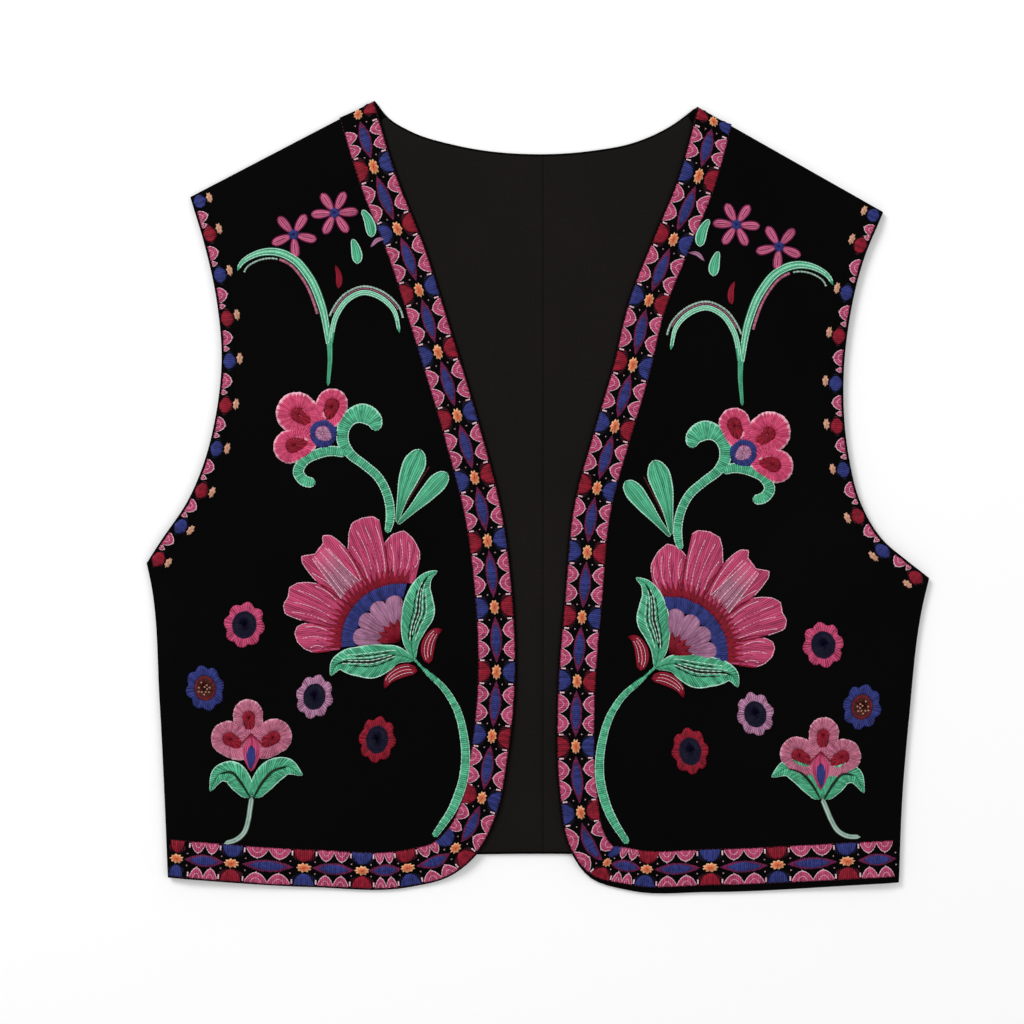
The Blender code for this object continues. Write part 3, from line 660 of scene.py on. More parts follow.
def long_stitched(rows, height, chance, lift=0.0, pitch=PITCH):
    """A stroke whose threads run along it."""
    path = smooth_path(rows, 1.8)
    threads = max(2, round(max(row.width for row in rows) / pitch))
    across = np.linspace(-1, 1, 2 * threads + 1)
    reach = left_normals(path) * rounded_half(path)[:, None]
    plan = path[None, :, :2] + across[:, None, None] * reach[None]
    dome = np.sqrt(np.clip(1 - np.abs(across) ** 3, 0, 1))[:, None] * np.ones(len(path))[None]
    rise = height * (EDGE_SHARE + (1 - EDGE_SHARE) * dome) - thread_valleys(len(across), len(path))
    share = (lengths_along(path) / 14) % 1 * 0.54
    uv = np.stack(np.meshgrid(share, np.linspace(0, threads, len(across)), indexing="ij")[::-1], axis=-1)
    plan = frayed(plan, 0.6 * FRAY, chance)
    return patch(plan.swapaxes(0, 1), rise.T, threads, lift=lift, uv=uv)


def feathered(rows, height, chance, lift=0.0, lean=0.9):
    """A leaf in two halves, the threads of each slanting forward from the vein to the edge."""
    path = smooth_path(rows, PITCH / 2)
    half, along = rounded_half(path), lengths_along(path)
    start = np.maximum(along - lean * half, 0.1 * along)
    vein = np.column_stack([np.interp(start, along, path[:, 0]), np.interp(start, along, path[:, 1])])
    reach = left_normals(path) * half[:, None]
    return [satin(vein, path[:, :2] + sign * reach, height, chance, 8, lift) for sign in (1, -1)]


def cord(line, radius, lift=0.0, bead=0.0, bead_length=2.0):
    """A fine laid thread along a line, round on top and beaded like a chain where asked."""
    path = spaced(line[:, :2], 0.9)
    along = lengths_along(path)
    swell = 1 - bead * (0.5 + 0.5 * np.cos(2 * np.pi * along / bead_length))
    across = np.array([-1, -0.45, 0.45, 1])
    reach = left_normals(path) * radius * swell[:, None]
    plan = path[:, None] + across[None, :, None] * reach[:, None]
    rise = radius * 1.1 * np.sqrt(np.clip(1 - across**2, 0.05, 1))[None] * swell[:, None]
    return patch(plan, rise, along[-1] / 0.9, lift=lift)


def side_lines(rows, inset, part=(0.0, 1.0)):
    """The two lines just inside a stroke's edges, over a part of its length."""
    path = smooth_path(rows, 1.2)
    first, last = int(part[0] * (len(path) - 1)), int(part[1] * (len(path) - 1)) + 1
    reach = left_normals(path) * np.maximum(rounded_half(path) - inset, 0.05)[:, None]
    return [(path[:, :2] + sign * reach)[first:last] for sign in (1, -1)]


def offset_line(rows, offset, part):
    """A line beside a stroke's middle, over a part of its length."""
    path = smooth_path(rows, 1.2)
    first, last = int(part[0] * (len(path) - 1)), int(part[1] * (len(path) - 1)) + 1
    return (path[:, :2] + left_normals(path) * offset)[first:last]


def vein_lines(rows, shares, part):
    """Lines along a leaf at shares of half its width, each over its own part of the length."""
    path = smooth_path(rows, 1.2)
    half = path[:, 2] / 2
    lines = []
    for number, share in enumerate(shares):
        first = int((part[0] + 0.05 * (number % 3)) * len(path))
        last = int((part[1] - 0.06 * (number % 2)) * len(path))
        lines.append((path[:, :2] + left_normals(path) * (half * share)[:, None])[first:last])
    return lines


def around(centre, radius, threads, point_at=None, pull=0.0, base=0.86, sharpness=5):
    """A loop round a centre, drawn to a point in one direction where asked."""
    angle = np.linspace(0, 2 * np.pi, 2 * threads, endpoint=False)
    reach = np.full(len(angle), float(radius))
    if point_at is not None:
        heading = np.arctan2(point_at[1] - centre[1], point_at[0] - centre[0])
        reach = reach * (base + pull * np.clip(np.cos(angle - heading), 0, 1) ** sharpness)
    way = np.column_stack([np.cos(angle), np.sin(angle)])
    return np.array(centre[:2], float) + way * reach[:, None]


def button(centre, radius, height, chance, threads=12, lift=0.0, **shape):
    """A small round or pointed fill, its threads running out from the middle."""
    outer = around(centre, radius, threads, **shape)
    middle = outer.mean(axis=0)
    return satin(middle + (outer - middle) * 0.03, outer, height, chance, 5, lift, True, 0.4, fray=0.5 * FRAY)


def knot(centre, radius, height, points, lift=0.0):
    """A small raised star of wound thread."""
    angle = np.linspace(0, 2 * np.pi, 6 * points, endpoint=False)
    reach = radius * (0.74 + 0.26 * np.cos(points * angle))
    share = np.linspace(0.04, 1, 4)
    way = np.column_stack([np.cos(angle), np.sin(angle)])
    plan = np.array(centre[:2], float) + way[:, None] * (reach[:, None] * share[None])[..., None]
    dome = np.sqrt(np.clip(1.05 - share**2, 0.05, 1))[None]
    rise = height * dome * (0.85 + 0.15 * np.cos(points * angle))[:, None]
    return patch(plan, rise, 2 * points, closed=True, lift=lift)


def lobes_of(discs, hearts, throat, height, chance):
    """The lobes of a blossom as rings of threads round their hearts, and the hearts."""
    rings, cores = [], []
    for number, (disc, heart) in enumerate(zip(discs, hearts)):
        threads = round(2 * np.pi * disc.radius / PITCH)
        outer = around(disc, disc.radius, threads, point_at=throat, pull=0.7, base=1.0, sharpness=2.5)
        inner = around(heart, heart.radius, threads, point_at=throat, pull=1.0, sharpness=4)
        rings.append(satin(inner, outer, height, chance, 9, 0.04 * number, True, 0.4))
        cores.append(button(heart, heart.radius + 0.3, height * 0.95, chance, 16, point_at=throat, pull=1.0,
                            sharpness=4))
    return rings, cores


def floret(chance, turn, stretch):
    """A ring of eight round lobes round an eye, stretched across and along."""
    threads = 44
    angle = np.linspace(0, 2 * np.pi, 2 * threads, endpoint=False)
    lobe = np.abs(np.cos(FLORET_LOBES / 2 * angle))
    radius = FLORET_RADIUS * (1 - FLORET_DIP * (1 - lobe))
    way = np.column_stack([stretch[0] * np.cos(angle), stretch[1] * np.sin(angle)])
    spin = spin_of(turn)
    outer = way * radius[:, None] @ spin.T
    inner = way * FLORET_EYE @ spin.T
    ring = satin(inner, outer, 1.15, chance, 8, 0, True, 0.45)
    eye = satin(inner * 0.05, inner * 1.04, 0.95, chance, 6, 0, True, 0.5)
    fuzz = satin(inner * 0.84, inner * 1.16, 0.5, chance, 4, 0.55, True, 0.4, fray=0.7)
    return ring, eye, fuzz, inner


def seeds(count, radius):
    """Points spread evenly over a disc on a spiral whose turn from one to the next is the golden angle."""
    number = np.arange(count) + 0.5
    reach = radius * np.sqrt(number / count)
    return np.column_stack([reach * np.cos(2.4 * number), reach * np.sin(2.4 * number)])


def bloom_fan(inner, outer, threads, height, chance, nt, lift=0.0, fray=FRAY):
    """Threads running out from one radius to another over the bloom's whole fan.

    Either radius may be a function of the share of the fan that is passed.
    """
    share = np.linspace(0, 1, 2 * threads + 1)
    ends = []
    for reach in (inner, outer):
        radius = reach(share) if callable(reach) else np.full(len(share), float(reach))
        low = np.interp(radius, BLOOM_REACHES, BLOOM_LOW)
        high = np.interp(radius, BLOOM_REACHES, BLOOM_HIGH)
        angle = np.radians(low + (high - low) * share)
        ends.append(np.column_stack([radius * np.cos(angle), radius * np.sin(angle)]))
    return satin(*ends, height, chance, nt, lift, fray=fray)


def spikes(count, low, high):
    """A radius that rises and falls in sharp points across the fan."""
    return lambda share: low + (high - low) * (1 - np.abs(2 * ((share * count) % 1) - 1)) ** 1.3


def waves(count, low, high):
    """A radius that swells in round lobes across the fan."""
    return lambda share: low + (high - low) * np.abs(np.sin(np.pi * count * share))


def ray(angle, start, end):
    """A straight line out from the foot, in degrees and millimetres."""
    a = np.radians(angle)
    reach = np.linspace(start, end, 12)
    return np.column_stack([reach * np.cos(a), reach * np.sin(a)])


def bloom_petals(chance):
    """The petals' threads, and the fine pale and dark lines laid on them."""
    petals, pale, dark = [], [], []
    for number, outline in enumerate(BLOOM_PETALS):
        angles, radii = np.transpose(outline)
        span = angles[-1] - angles[0]
        threads = round(np.radians(-span) * radii.mean() / PITCH)
        degrees = angles[0] + span * np.linspace(0, 1, 2 * threads + 1)
        reach = np.interp(-degrees, -angles, radii)
        way = np.column_stack([np.cos(np.radians(degrees)), np.sin(np.radians(degrees))])
        lift = 0.05 * (number % 2)
        petals.append(satin(way * 36, way * reach[:, None], 1.45, chance, 14, lift, ends=0.5, fray=0.35))
        pale.append(cord(way[1:-1] * (reach[1:-1, None] - 0.3), 0.34, 0.6, 0.75, 2.0))
        lines = round(-span / 5.5)
        for at in (np.arange(lines) + 0.5) / lines + chance.uniform(-0.03, 0.03, lines):
            end = 0.93 * np.interp(-(angles[0] + span * at), -angles, radii)
            line = ray(angles[0] + span * at, chance.uniform(42, 47), end)
            bow = 1.3 * np.sin(np.linspace(0, 3.1, len(line)))
            pale.append(cord(line + left_normals(line) * bow[:, None], 0.32, 1.22, 0.7, 2.2))
            beside = ray(angles[0] + span * at - 2, 42, 0.88 * end)
            dark.append(cord(beside + left_normals(beside) * bow[:, None], 0.28, 1.2, 0.5, 3.0))
        dark.append(cord(ray(angles[-1], 42, radii[-1] - 1.5), 0.5, 0.75, 0.2))
    return petals, pale, dark


def star(petals, first, radius, width, chance):
    """Long-stitched petals round a core, the first one at the given angle in degrees, and their rims."""
    made, rims = [], []
    for angle in np.radians(first + np.arange(petals) * 360 / petals):
        way = np.array([np.cos(angle), np.sin(angle)])
        rows = [Row(*(way * radius * share), width * swell) for share, swell in
                ((0.14, 0.4), (0.4, 0.85), (0.66, 1.05), (0.86, 0.9), (1.0, 0.6))]
        made.append(long_stitched(rows, 1.1, chance))
        rims += [cord(line, 0.42, 0.35) for line in side_lines(rows, 0.0)]
        rims.append(cord(offset_line(rows, 0, (0.35, 0.85)), 0.3, 0.95, 0.5))
    return made, rims


# The border and the edging, laid out along an edge

def on_edge(side, edge, along, inward):
    """Points at a distance along an edge and a distance in from it."""
    path = smooth_path(getattr(side, edge), 1.0)
    at = lengths_along(path)
    normals = left_normals(path)
    d = np.clip(along, 0, at[-1])
    place = np.stack([np.interp(d, at, path[:, 0]), np.interp(d, at, path[:, 1])], axis=-1)
    turn = np.stack([np.interp(d, at, normals[:, 0]), np.interp(d, at, normals[:, 1])], axis=-1)
    way = np.stack([turn[..., 1], -turn[..., 0]], axis=-1)
    beyond = np.asarray(along) - d
    return place + turn * np.asarray(inward)[..., None] + way * beyond[..., None]


def on_border(side, along, inward):
    """Points of the border. Its start slants with the shoulder, and the side says where it is drawn in."""
    slant = side.slant * inward * np.clip(1 - along / SLANT_REACH, 0, 1)
    return on_edge(side, "border", along + slant, inward + np.interp(along, *np.transpose(side.drawn_in)))


def on_armhole(side, along, inward):
    """Points of the armhole's edging, at a distance along it from the shoulder."""
    return on_edge(side, "armhole", edge_length(side, "armhole") - along, inward)


def edge_length(side, edge):
    """The length of one of a front's edges."""
    return lengths_along(smooth_path(getattr(side, edge), 1.0))[-1]


def half_disc(lay, centre, base, depth, half, chance, height=1.1, power=0.55):
    """A fill with its flat side at one distance in, its threads running across the border."""
    a = np.linspace(-1, 1, 2 * round(2 * half / PITCH) + 1)
    curve = np.clip(1 - a**2, 0.004, 1) ** power
    first = lay(centre + a * half, np.full(len(a), base))
    return satin(first, lay(centre + a * half, base + depth * curve), height, chance, 7)


def scallop(lay, centre, base, depth, half, chance, height=1.1, power=0.8):
    """A half disc drawn towards a point, the pale chains on it, and the bead at its tip."""
    fill = half_disc(lay, centre, base, depth, half, chance, height, power)
    b = np.linspace(-0.97, 0.97, 24)
    curve = np.clip(1 - b**2, 0, 1) ** power
    rim = cord(lay(centre + b * half, base + depth * 0.95 * curve), 0.38, 0.5, 0.6)
    inner = cord(lay(centre + 0.5 * b * half, base + depth * 0.5 * curve), 0.22, height * 0.9, 0.8)
    return fill, [rim, inner, knot(lay(centre, base + depth), 0.75, 0.9, 3)]


def tuft(lay, centre, inward, half, deep, height, arms, chance):
    """A rough oval knot of wound thread, its rim drawn out in short uneven arms."""
    angle = np.linspace(0, 2 * np.pi, 6 * arms, endpoint=False)
    share = np.linspace(0.04, 1, 5)[None]
    wave = np.cos(arms * angle)
    reach = (0.88 + 0.12 * wave + chance.uniform(-0.07, 0.07, len(angle)))[:, None] * share
    plan = lay(centre + half * np.cos(angle)[:, None] * reach, inward + deep * np.sin(angle)[:, None] * reach)
    rise = height * np.sqrt(np.clip(1.05 - share**2, 0.05, 1)) * (0.9 + 0.1 * wave)[:, None]
    return patch(plan, rise, 2 * arms, closed=True)


def oval(lay, centre, inward, half, deep, chance, height=1.2, power=0.5, lift=0.0):
    """A filled oval, its threads running across the border."""
    a = np.linspace(-1, 1, 2 * round(2 * half / PITCH) + 1)
    curve = np.clip(1 - np.abs(a) ** 2, 0.004, 1) ** power * deep
    first, second = (lay(centre + a * half, inward + sense * curve) for sense in (-1, 1))
    return satin(first, second, height, chance, 7, lift)


def border_work(side, work, chance):
    """Every repeat of the border: scallops at both edges, a lozenge between, and discs beside each knot."""
    length = edge_length(side, "border")
    lay = partial(on_border, side)
    outer, inner = EDGE_MARGIN, BORDER_WIDTH - 0.6
    middle = (outer + inner) / 2
    for number, at in enumerate(side.knots):
        names = ("crimson", "blue") if number % 2 == 0 else ("blue", "crimson")
        room = min(6.1, at - 0.6, length - at - 0.6)
        for name, base, sense in zip(names, (outer, inner), (1, -1)):
            if number == 0 and sense < 0 and side is RIGHT:
                continue
            ends = lay(np.array([at - 4, at + 4]), np.full(2, base))
            squeeze = np.clip(np.linalg.norm(ends[1] - ends[0]) / 8, 0.6, 1)
            work[f"halos_{name}"].append(oval(lay, at, base + 4.2 * sense, room * 1.2, 4.2, chance, 0.45))
            work[f"border_discs_{name}"].append(half_disc(lay, at, base, 7.3 * sense, room / squeeze, chance))
            for beside in (-7.3, 7.3):
                if 1 < at + beside < length - 1:
                    dash = lay(np.full(3, at + beside), base + sense * np.linspace(0.8, 3.6, 3))
                    work["border_dots"].append(cord(dash, 0.5, 0.2))
        work["border_knots"].append(tuft(lay, at, middle, min(4.7, room), 2.9, 1.8, 9, chance))
    for start, end in zip(side.knots, side.knots[1:] + (side.knots[-1] + 36,)):
        centre, gap = (start + end) / 2, end - start
        half = (gap - 16.5) / 4
        if centre + 2 * half > length:
            continue
        for base, sense in ((outer, 1), (inner, -1)):
            for offset in (-half, half):
                fill, chain = scallop(lay, centre + offset, base, sense * 6.6, half, chance)
                work["border_scallops"].append(fill)
                work["border_chain"] += chain
        reach = min(gap * 0.36, length - centre - 1)
        work["border_rims"].append(oval(lay, centre, middle, reach, 3.9, chance, 0.8, 1.0))
        work["border_lozenges"].append(oval(lay, centre, middle, 0.7 * reach, 2.7, chance, 0.7, 0.8, 0.5))
        for offset in (-0.31, 0.31):
            for beside in (-3.6, 3.6):
                work["border_dots"].append(knot(lay(centre + gap * offset, middle + beside), 0.6, 0.8, 3))
    along = np.linspace(0.8, length - 0.8, 500)
    for inward in (1.1, BORDER_WIDTH - 0.4):
        work["border_lines"].append(cord(lay(along, np.full(500, inward)), 0.42, 0, 0.4, 2.4))


def edging_work(side, work, chance):
    """Every repeat of the armhole's edging: a disc, a knot beside it, a scallop and a small one after it."""
    length = edge_length(side, "armhole")
    lay = partial(on_armhole, side)
    for number, (at, following) in enumerate(zip(side.discs, side.discs[1:] + (length,))):
        name = "blue" if number % 2 == 0 else "crimson"
        to_end = min(at, length - at) - 0.4
        work[f"halos_{name}"].append(oval(lay, at, 4.9, min(6.0, to_end), 3.9, chance, 0.45))
        work[f"edging_discs_{name}"].append(oval(lay, at, 4.8, min(4.6, to_end), 3.6, chance, 1.1))
        work["edging_knots"].append(tuft(lay, max(at - 1.6, 4.0), 11.0, 3.4, 1.9, 1.3, 7, chance))
        gap = following - at
        if gap < 17:
            continue
        for share, half, depth in ((0.45, 0.175 * gap, 5.6), (0.71, 1.5, 3.2)):
            fill, chain = scallop(lay, at + gap * share, 1.4, depth, half, chance, 1.0, 0.65)
            work["edging_scallops"].append(fill)
            work["edging_chain"] += chain
    along = np.linspace(0.8, length - 0.8, 240)
    work["border_lines"].append(cord(lay(along, np.full(240, 1.1)), 0.35, 0, 0.5, 2.4))


# The motifs, in the side's own frame

def spin_of(degrees):
    """The matrix of a turn in the plane."""
    a = np.radians(degrees)
    return np.array([[np.cos(a), -np.sin(a)], [np.sin(a), np.cos(a)]])


def placed(patches, place, turn=0.0):
    """The patches turned about their foot and moved to their place on the front."""
    spin = spin_of(turn)
    return [{**made, "plan": made["plan"] @ spin.T + np.array(place[:2], float)} for made in patches]


def motif_work(side, work, chance):
    """All raised motifs of one front."""
    left = side is LEFT

    def put(name, patches, right_place, left_place, turn=0.0):
        """Adds patches at this side's place. The turn is the left front's only."""
        work[name] += placed(patches, left_place if left else right_place, turn if left else 0.0)

    for name, petals, first, right_place, left_place in (
        ("star_upper", 6, -4, (122, 170), (119, 163)),
        ("star_lower", 5, 193, (146.5, 157), (144.5, 149.8)),
    ):
        made, rims = star(petals, first, 14.0, 5.0, chance)
        put(name, made, right_place, left_place)
        put("star_rims", rims, right_place, left_place)
        put("eyes_blue", [button((0, 0), 3.3, 1.5, chance, 12)], right_place, left_place)

    for right_place, left_place, rows in GREEN_DASHES:
        put("dashes", [long_stitched(rows, 1.0, chance)], right_place, left_place)
        rims = [cord(line, 0.35, 0.5, 0.3) for line in side_lines(rows, 0.2)]
        put("lines_pale_green", rims, right_place, left_place)
    put("flame", [long_stitched(FLAME, 1.0, chance)], (120, 131.7), (116.4, 122.1))
    put("lines_lilac", [long_stitched(CURL, 0.8, chance)], (96, 152.1), (95.4, 143.7))

    place = (125.4, 99.3), (122, 89)
    tall = SPRIG_LEFT_TALLER if left else 1.0
    sprig = [[Row(row.out, tall * row.y, row.width) for row in rows] for rows in SPRIG]
    put("sprig", [long_stitched(rows, 1.15, chance, pitch=1.5) for rows in sprig], *place)
    beaded = [line for rows in sprig[1:] for line in vein_lines(rows, (-0.72, 0.0, 0.72), (0.02, 0.98))]
    put("lines_pale_green", [cord(line, 0.36, 1.0, 0.6) for line in beaded], *place)
    put("lines_mauve", [cord(offset_line(sprig[1], -3.9, (0.22, 0.68)), 0.9, 0, 0.3)], *place)
    put("lines_grey_green", [cord(offset_line(sprig[1], -4.0, (0.7, 0.99)), 0.7, 0, 0.6)], *place)
    put("lines_mauve", [cord(offset_line(sprig[2], -2.4, (0.26, 0.84)), 0.4, 0, 0.6)], *place)
    put("lines_grey_green", [cord(offset_line(sprig[2], -3.7, (0.22, 0.9)), 0.8, 0, 0.5)], *place)

    place = (128, 37), (122.4, 25.4)
    rings, cores = lobes_of(MIDDLE_LOBES, MIDDLE_HEARTS, (2, 1), 1.4, chance)
    filler = button((7.5, 8.5), 9.4, 0.9, chance, 40)
    put("blossom_middle", rings + [filler], *place)
    put("hearts", cores, *place)
    blue_ring = satin(around((1, 0.8), 3.8, 30), around((1, 0.8), 8.6, 30), 1.4, chance, 7, 0.25, True, 0.4)
    put("eyes_blue", [blue_ring], *place)
    lilac_eye = button((1.2, 1.0), 5.4, 1.5, chance, 18, 0.3, point_at=(-9, -6), pull=0.5, base=0.9)
    put("eyes_lilac", [lilac_eye], *place)

    place = (115.2, 26), (110.4, 15.8)
    put("scroll", [cross_stitched(rows, 1.35, chance, 0.03 * n) for n, rows in enumerate(SCROLL)], *place)
    rims = [cord(line, 0.46, 0.4, 0.7) for rows in SCROLL for line in side_lines(rows, 0.1)]
    put("lines_pale_green", rims, *place)

    place = (84.6, -16.5), (79.8, -24), -5
    put("leaf_pair", [long_stitched(rows, 1.3, chance) for rows in LEAF_PAIR], *place)
    rims = [cord(line, 0.46, 0.45, 0.6) for rows in LEAF_PAIR for line in side_lines(rows, 0.15)]
    put("lines_pale_green", rims, *place)
    between = np.array([(-4.2, 9.6), (-10, 19.5), (-16, 29), (-19.4, 34.4)], float)
    put("lines_brown", [cord(spaced(between, 1.0), 0.6, 0, 0.55, 2.2)], *place)

    place = (82.8, -87.3), (78.8, -95.2), -1
    petals, pale, dark = bloom_petals(chance)
    put("bloom", petals, *place)
    put("lines_pale", pale, *place)
    put("lines_crimson", dark, *place)
    put("bloom_fringe", [bloom_fan(34.6, spikes(24, 39.0, 47.0), 96, 1.5, chance, 7, 0.15, fray=1.1)], *place)
    put("eyes_blue", [bloom_fan(26.5, 36.0, 52, 1.45, chance, 7, 0.05)], *place)
    put("eyes_lilac", [bloom_fan(11.0, waves(4, 24.6, 30.6), 60, 1.5, chance, 9, 0.1)], *place)
    put("hearts", [bloom_fan(0.6, spikes(5, 10.0, 17.5), 22, 1.5, chance, 6, 0.25)], *place)
    panel = [ray(angle, 43.5, 43.6)[0] for angle in np.linspace(36.5, 56.5, 25)]
    panel_end = [ray(angle, 72.5, 72.6)[0] for angle in np.linspace(43.5, 51.5, 25)]
    put("eyes_silver", [satin(np.array(panel), np.array(panel_end), 0.5, chance, 12, 1.1)], *place)
    sides = [np.linspace(panel[n], panel_end[n], 20) for n in (0, 5, 15, 24)]
    put("lines_pale", [cord(line, 0.36, 1.45, 0.75, 2.4) for line in sides], *place)

    place = (73.8, -98.1), (69.8, -102.8), -2.5
    halves = [half for rows in BLOOM_LEAVES for half in feathered(rows, 1.35, chance, 0.55)]
    put("bloom_leaves", halves, *place)
    put("bloom_leaves", [cross_stitched(BLOOM_STEM, 1.2, chance)], *place)
    rims = [cord(line, 0.42, 1.0, 0.45) for rows in BLOOM_LEAVES for line in side_lines(rows, 0.2)]
    rims += [cord(line, 0.3, 0.5, 0.6, 3.0) for line in side_lines(BLOOM_STEM, 0.3, (0.15, 1))]
    put("lines_pale_green", rims, *place)
    for rows in BLOOM_LEAVES:
        vein = [Row(row.out, row.y, width) for row, width in zip(rows[1:7], (0.8, 2.8, 3.6, 3.0, 1.6, 0.6))]
        put("veins", [long_stitched(vein, 0.5, chance, 1.5, pitch=0.9)], *place)
        dark = vein_lines(rows, (-0.3, 0.36), (0.22, 0.74))
        put("veins", [cord(line, 0.5, 1.75, 0.6, 5.2) for line in dark], *place)
        bright = vein_lines(rows, (-0.14, 0.06, 0.24, 0.5), (0.2, 0.82))
        put("lines_pale_green", [cord(line, 0.38, 1.95, 0.85, 3.4) for line in bright], *place)
    for rows, name in ((INNER_SEPAL, "sepal_inner"), (LOWER_SEPAL, "sepal_lower")):
        put(name, [long_stitched(rows, 1.15, chance)], *place)
        lines = vein_lines(rows, (-0.45, 0.05, 0.55), (0.1, 0.85))
        put("lines_pale", [cord(line, 0.27, 1.0, 0.7, 2.0) for line in lines], *place)

    for name, right_place, left_place, turn, stretch in (
        ("floret_pink", (176, -77), (171, -89), 10, (1.0, 1.12)),
        ("floret_blue", (199.7, -115), (194.4, -126.3), -12, (0.94, 1.12)),
        ("floret_lilac", (134, -120), (130.2, -130.5), 14, (0.9, 1.08)),
        ("floret_red", (96.4, -145.7), (91.2, -152.7), 8, (0.9, 1.14)),
    ):
        ring, eye, fuzz, loop = floret(chance, turn, stretch)
        place = right_place, left_place
        put(name, [ring], *place)
        put("lines_brown" if name == "floret_blue" else "eyes_navy", [eye], *place)
        if name == "floret_blue":
            put("lines_crimson", [cord(np.vstack([loop, loop[:1]]) * 0.86, 0.5, 0.6, 0.5)], *place)
            for number, bead in enumerate(seeds(BEADS, 4.4)):
                group = ("beads_peach", "beads_brown")[number % 3 == 2]
                put(group, [knot(bead, 0.7, 0.8, 3, 0.75)], *place)
        else:
            put("eyes_navy", [fuzz], *place)

    place = (172.2, -156.3), (169.8, -167)
    rings, cores = lobes_of(LOWER_LOBES, LOWER_HEARTS, (0, 4), 1.3, chance)
    put("blossom_lower", rings + [button((0, 10), 8.6, 0.85, chance, 36)], *place)
    put("hearts", cores, *place)
    put("lens_pink", [long_stitched(LOWER_THROAT, 0.9, chance, 0.75)], *place)
    put("eyes_blue", [long_stitched(LOWER_TONGUE, 0.9, chance, 1.1)], *place)
    for end in ((6.2, 7.6), (-8.4, 6.2)):
        put("lines_crimson", [cord(np.linspace((-0.4, 14.2), end, 10), 0.45, 1.3, 0.3)], *place)

    place = (171.3, -180.6), (170.2, -181.6)
    halves = [half for rows in LOWER_LEAVES for half in feathered(rows, 1.2, chance)]
    put("leaves_lower", halves, *place)
    put("leaves_lower_stem", [long_stitched(LOWER_STEM, 1.0, chance)], *place, 14)
    rims = [cord(line, 0.34, 0.4, 0.45) for rows in LOWER_LEAVES for line in side_lines(rows, 0.15)]
    put("lines_pale_green", rims, *place)
    for rows in LOWER_LEAVES:
        vein = [Row(row.out, row.y, width) for row, width in zip(rows[:4], (0.5, 1.5, 1.6, 0.5))]
        put("veins", [long_stitched(vein, 0.5, chance, 0.95, pitch=0.8)], *place)


# The look of each group of stitches
LOOKS = {
    "halos_blue": "navy", "halos_crimson": "dark_crimson", "border_discs_blue": "blue",
    "border_discs_crimson": "crimson", "border_knots": "orange", "border_scallops": "scallop_pink",
    "border_chain": "pale", "border_lozenges": "blue", "border_rims": "purple", "border_dots": "pale",
    "border_lines": "dark_crimson", "edging_discs_blue": "blue", "edging_discs_crimson": "crimson",
    "edging_knots": "peach", "edging_scallops": "scallop_pink", "edging_chain": "pale",
    "star_upper": "star_pink", "star_lower": "star_pink", "star_rims": "purple", "eyes_blue": "blue",
    "dashes": "green", "flame": "crimson", "lines_lilac": "lilac", "lines_pale_green": "pale_green",
    "lines_mauve": "mauve", "lines_grey_green": "grey_green", "sprig": "green",
    "blossom_middle": "pink_fringed", "hearts": "crimson", "eyes_lilac": "lilac", "scroll": "green",
    "leaf_pair": "green", "lines_brown": "brown", "bloom": "pink", "lines_pale": "pale",
    "lines_crimson": "crimson", "bloom_fringe": "crimson", "eyes_silver": "silver", "bloom_leaves": "green",
    "veins": "dark_green", "sepal_inner": "crimson", "sepal_lower": "crimson", "floret_pink": "pink",
    "floret_blue": "blue", "floret_lilac": "lilac", "floret_red": "crimson", "eyes_navy": "navy",
    "beads_peach": "peach", "beads_brown": "brown", "blossom_lower": "mauve", "lens_pink": "pink",
    "leaves_lower": "green", "leaves_lower_stem": "grey_green",
}

# The groups that stand for a solid of their own
STANDS_FOR = (
    "star_upper", "star_lower", "sprig", "blossom_middle", "scroll", "leaf_pair", "bloom", "bloom_leaves",
    "sepal_inner", "sepal_lower", "floret_pink", "floret_blue", "floret_lilac", "floret_red", "blossom_lower",
    "leaves_lower",
)


def mesh_piece(name, points, faces, uv, look):
    """A smooth-shaded object from arrays in metres, riding on the root."""
    mesh = bpy.data.meshes.new(name)
    mesh.from_pydata(points, [], faces)
    mesh.update()
    layer = mesh.uv_layers.new(name="thread")
    loops = np.zeros(len(mesh.loops), np.int32)
    mesh.loops.foreach_get("vertex_index", loops)
    layer.data.foreach_set("uv", uv[loops].astype(np.float32).ravel())
    mesh.shade_smooth()
    mesh.set_sharp_from_angle(angle=SHARP_ANGLE)
    mesh.materials.append(MATERIALS[look])
    piece = bpy.data.objects.new(name, mesh)
    bpy.context.scene.collection.objects.link(piece)
    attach(piece, "root")
    return piece


def stitched_piece(name, side, patches, look):
    """All patches of one colour as one piece, laid on the front's upper face."""
    first = np.cumsum([0] + [len(made["plan"]) for made in patches])[:-1]
    plan = np.vstack([made["plan"] for made in patches])
    rise = np.concatenate([made["rise"] for made in patches])
    uv = np.vstack([made["uv"] + [UV_STEP * number, 0] for number, made in enumerate(patches)])
    faces = [np.vstack([made["quads"] + start for made, start in zip(patches, first)])]
    faces += [made["ends"] + start for made, start in zip(patches, first)]
    height = front_top(side, plan) + rise
    points = np.column_stack([side.sign * plan[:, 0], plan[:, 1], height]) / 1000
    faces = [face for group in faces for face in group[:, :: side.sign].tolist()]
    return mesh_piece(f"{name}_{side.name}", points, faces, uv, look)


# Cloth

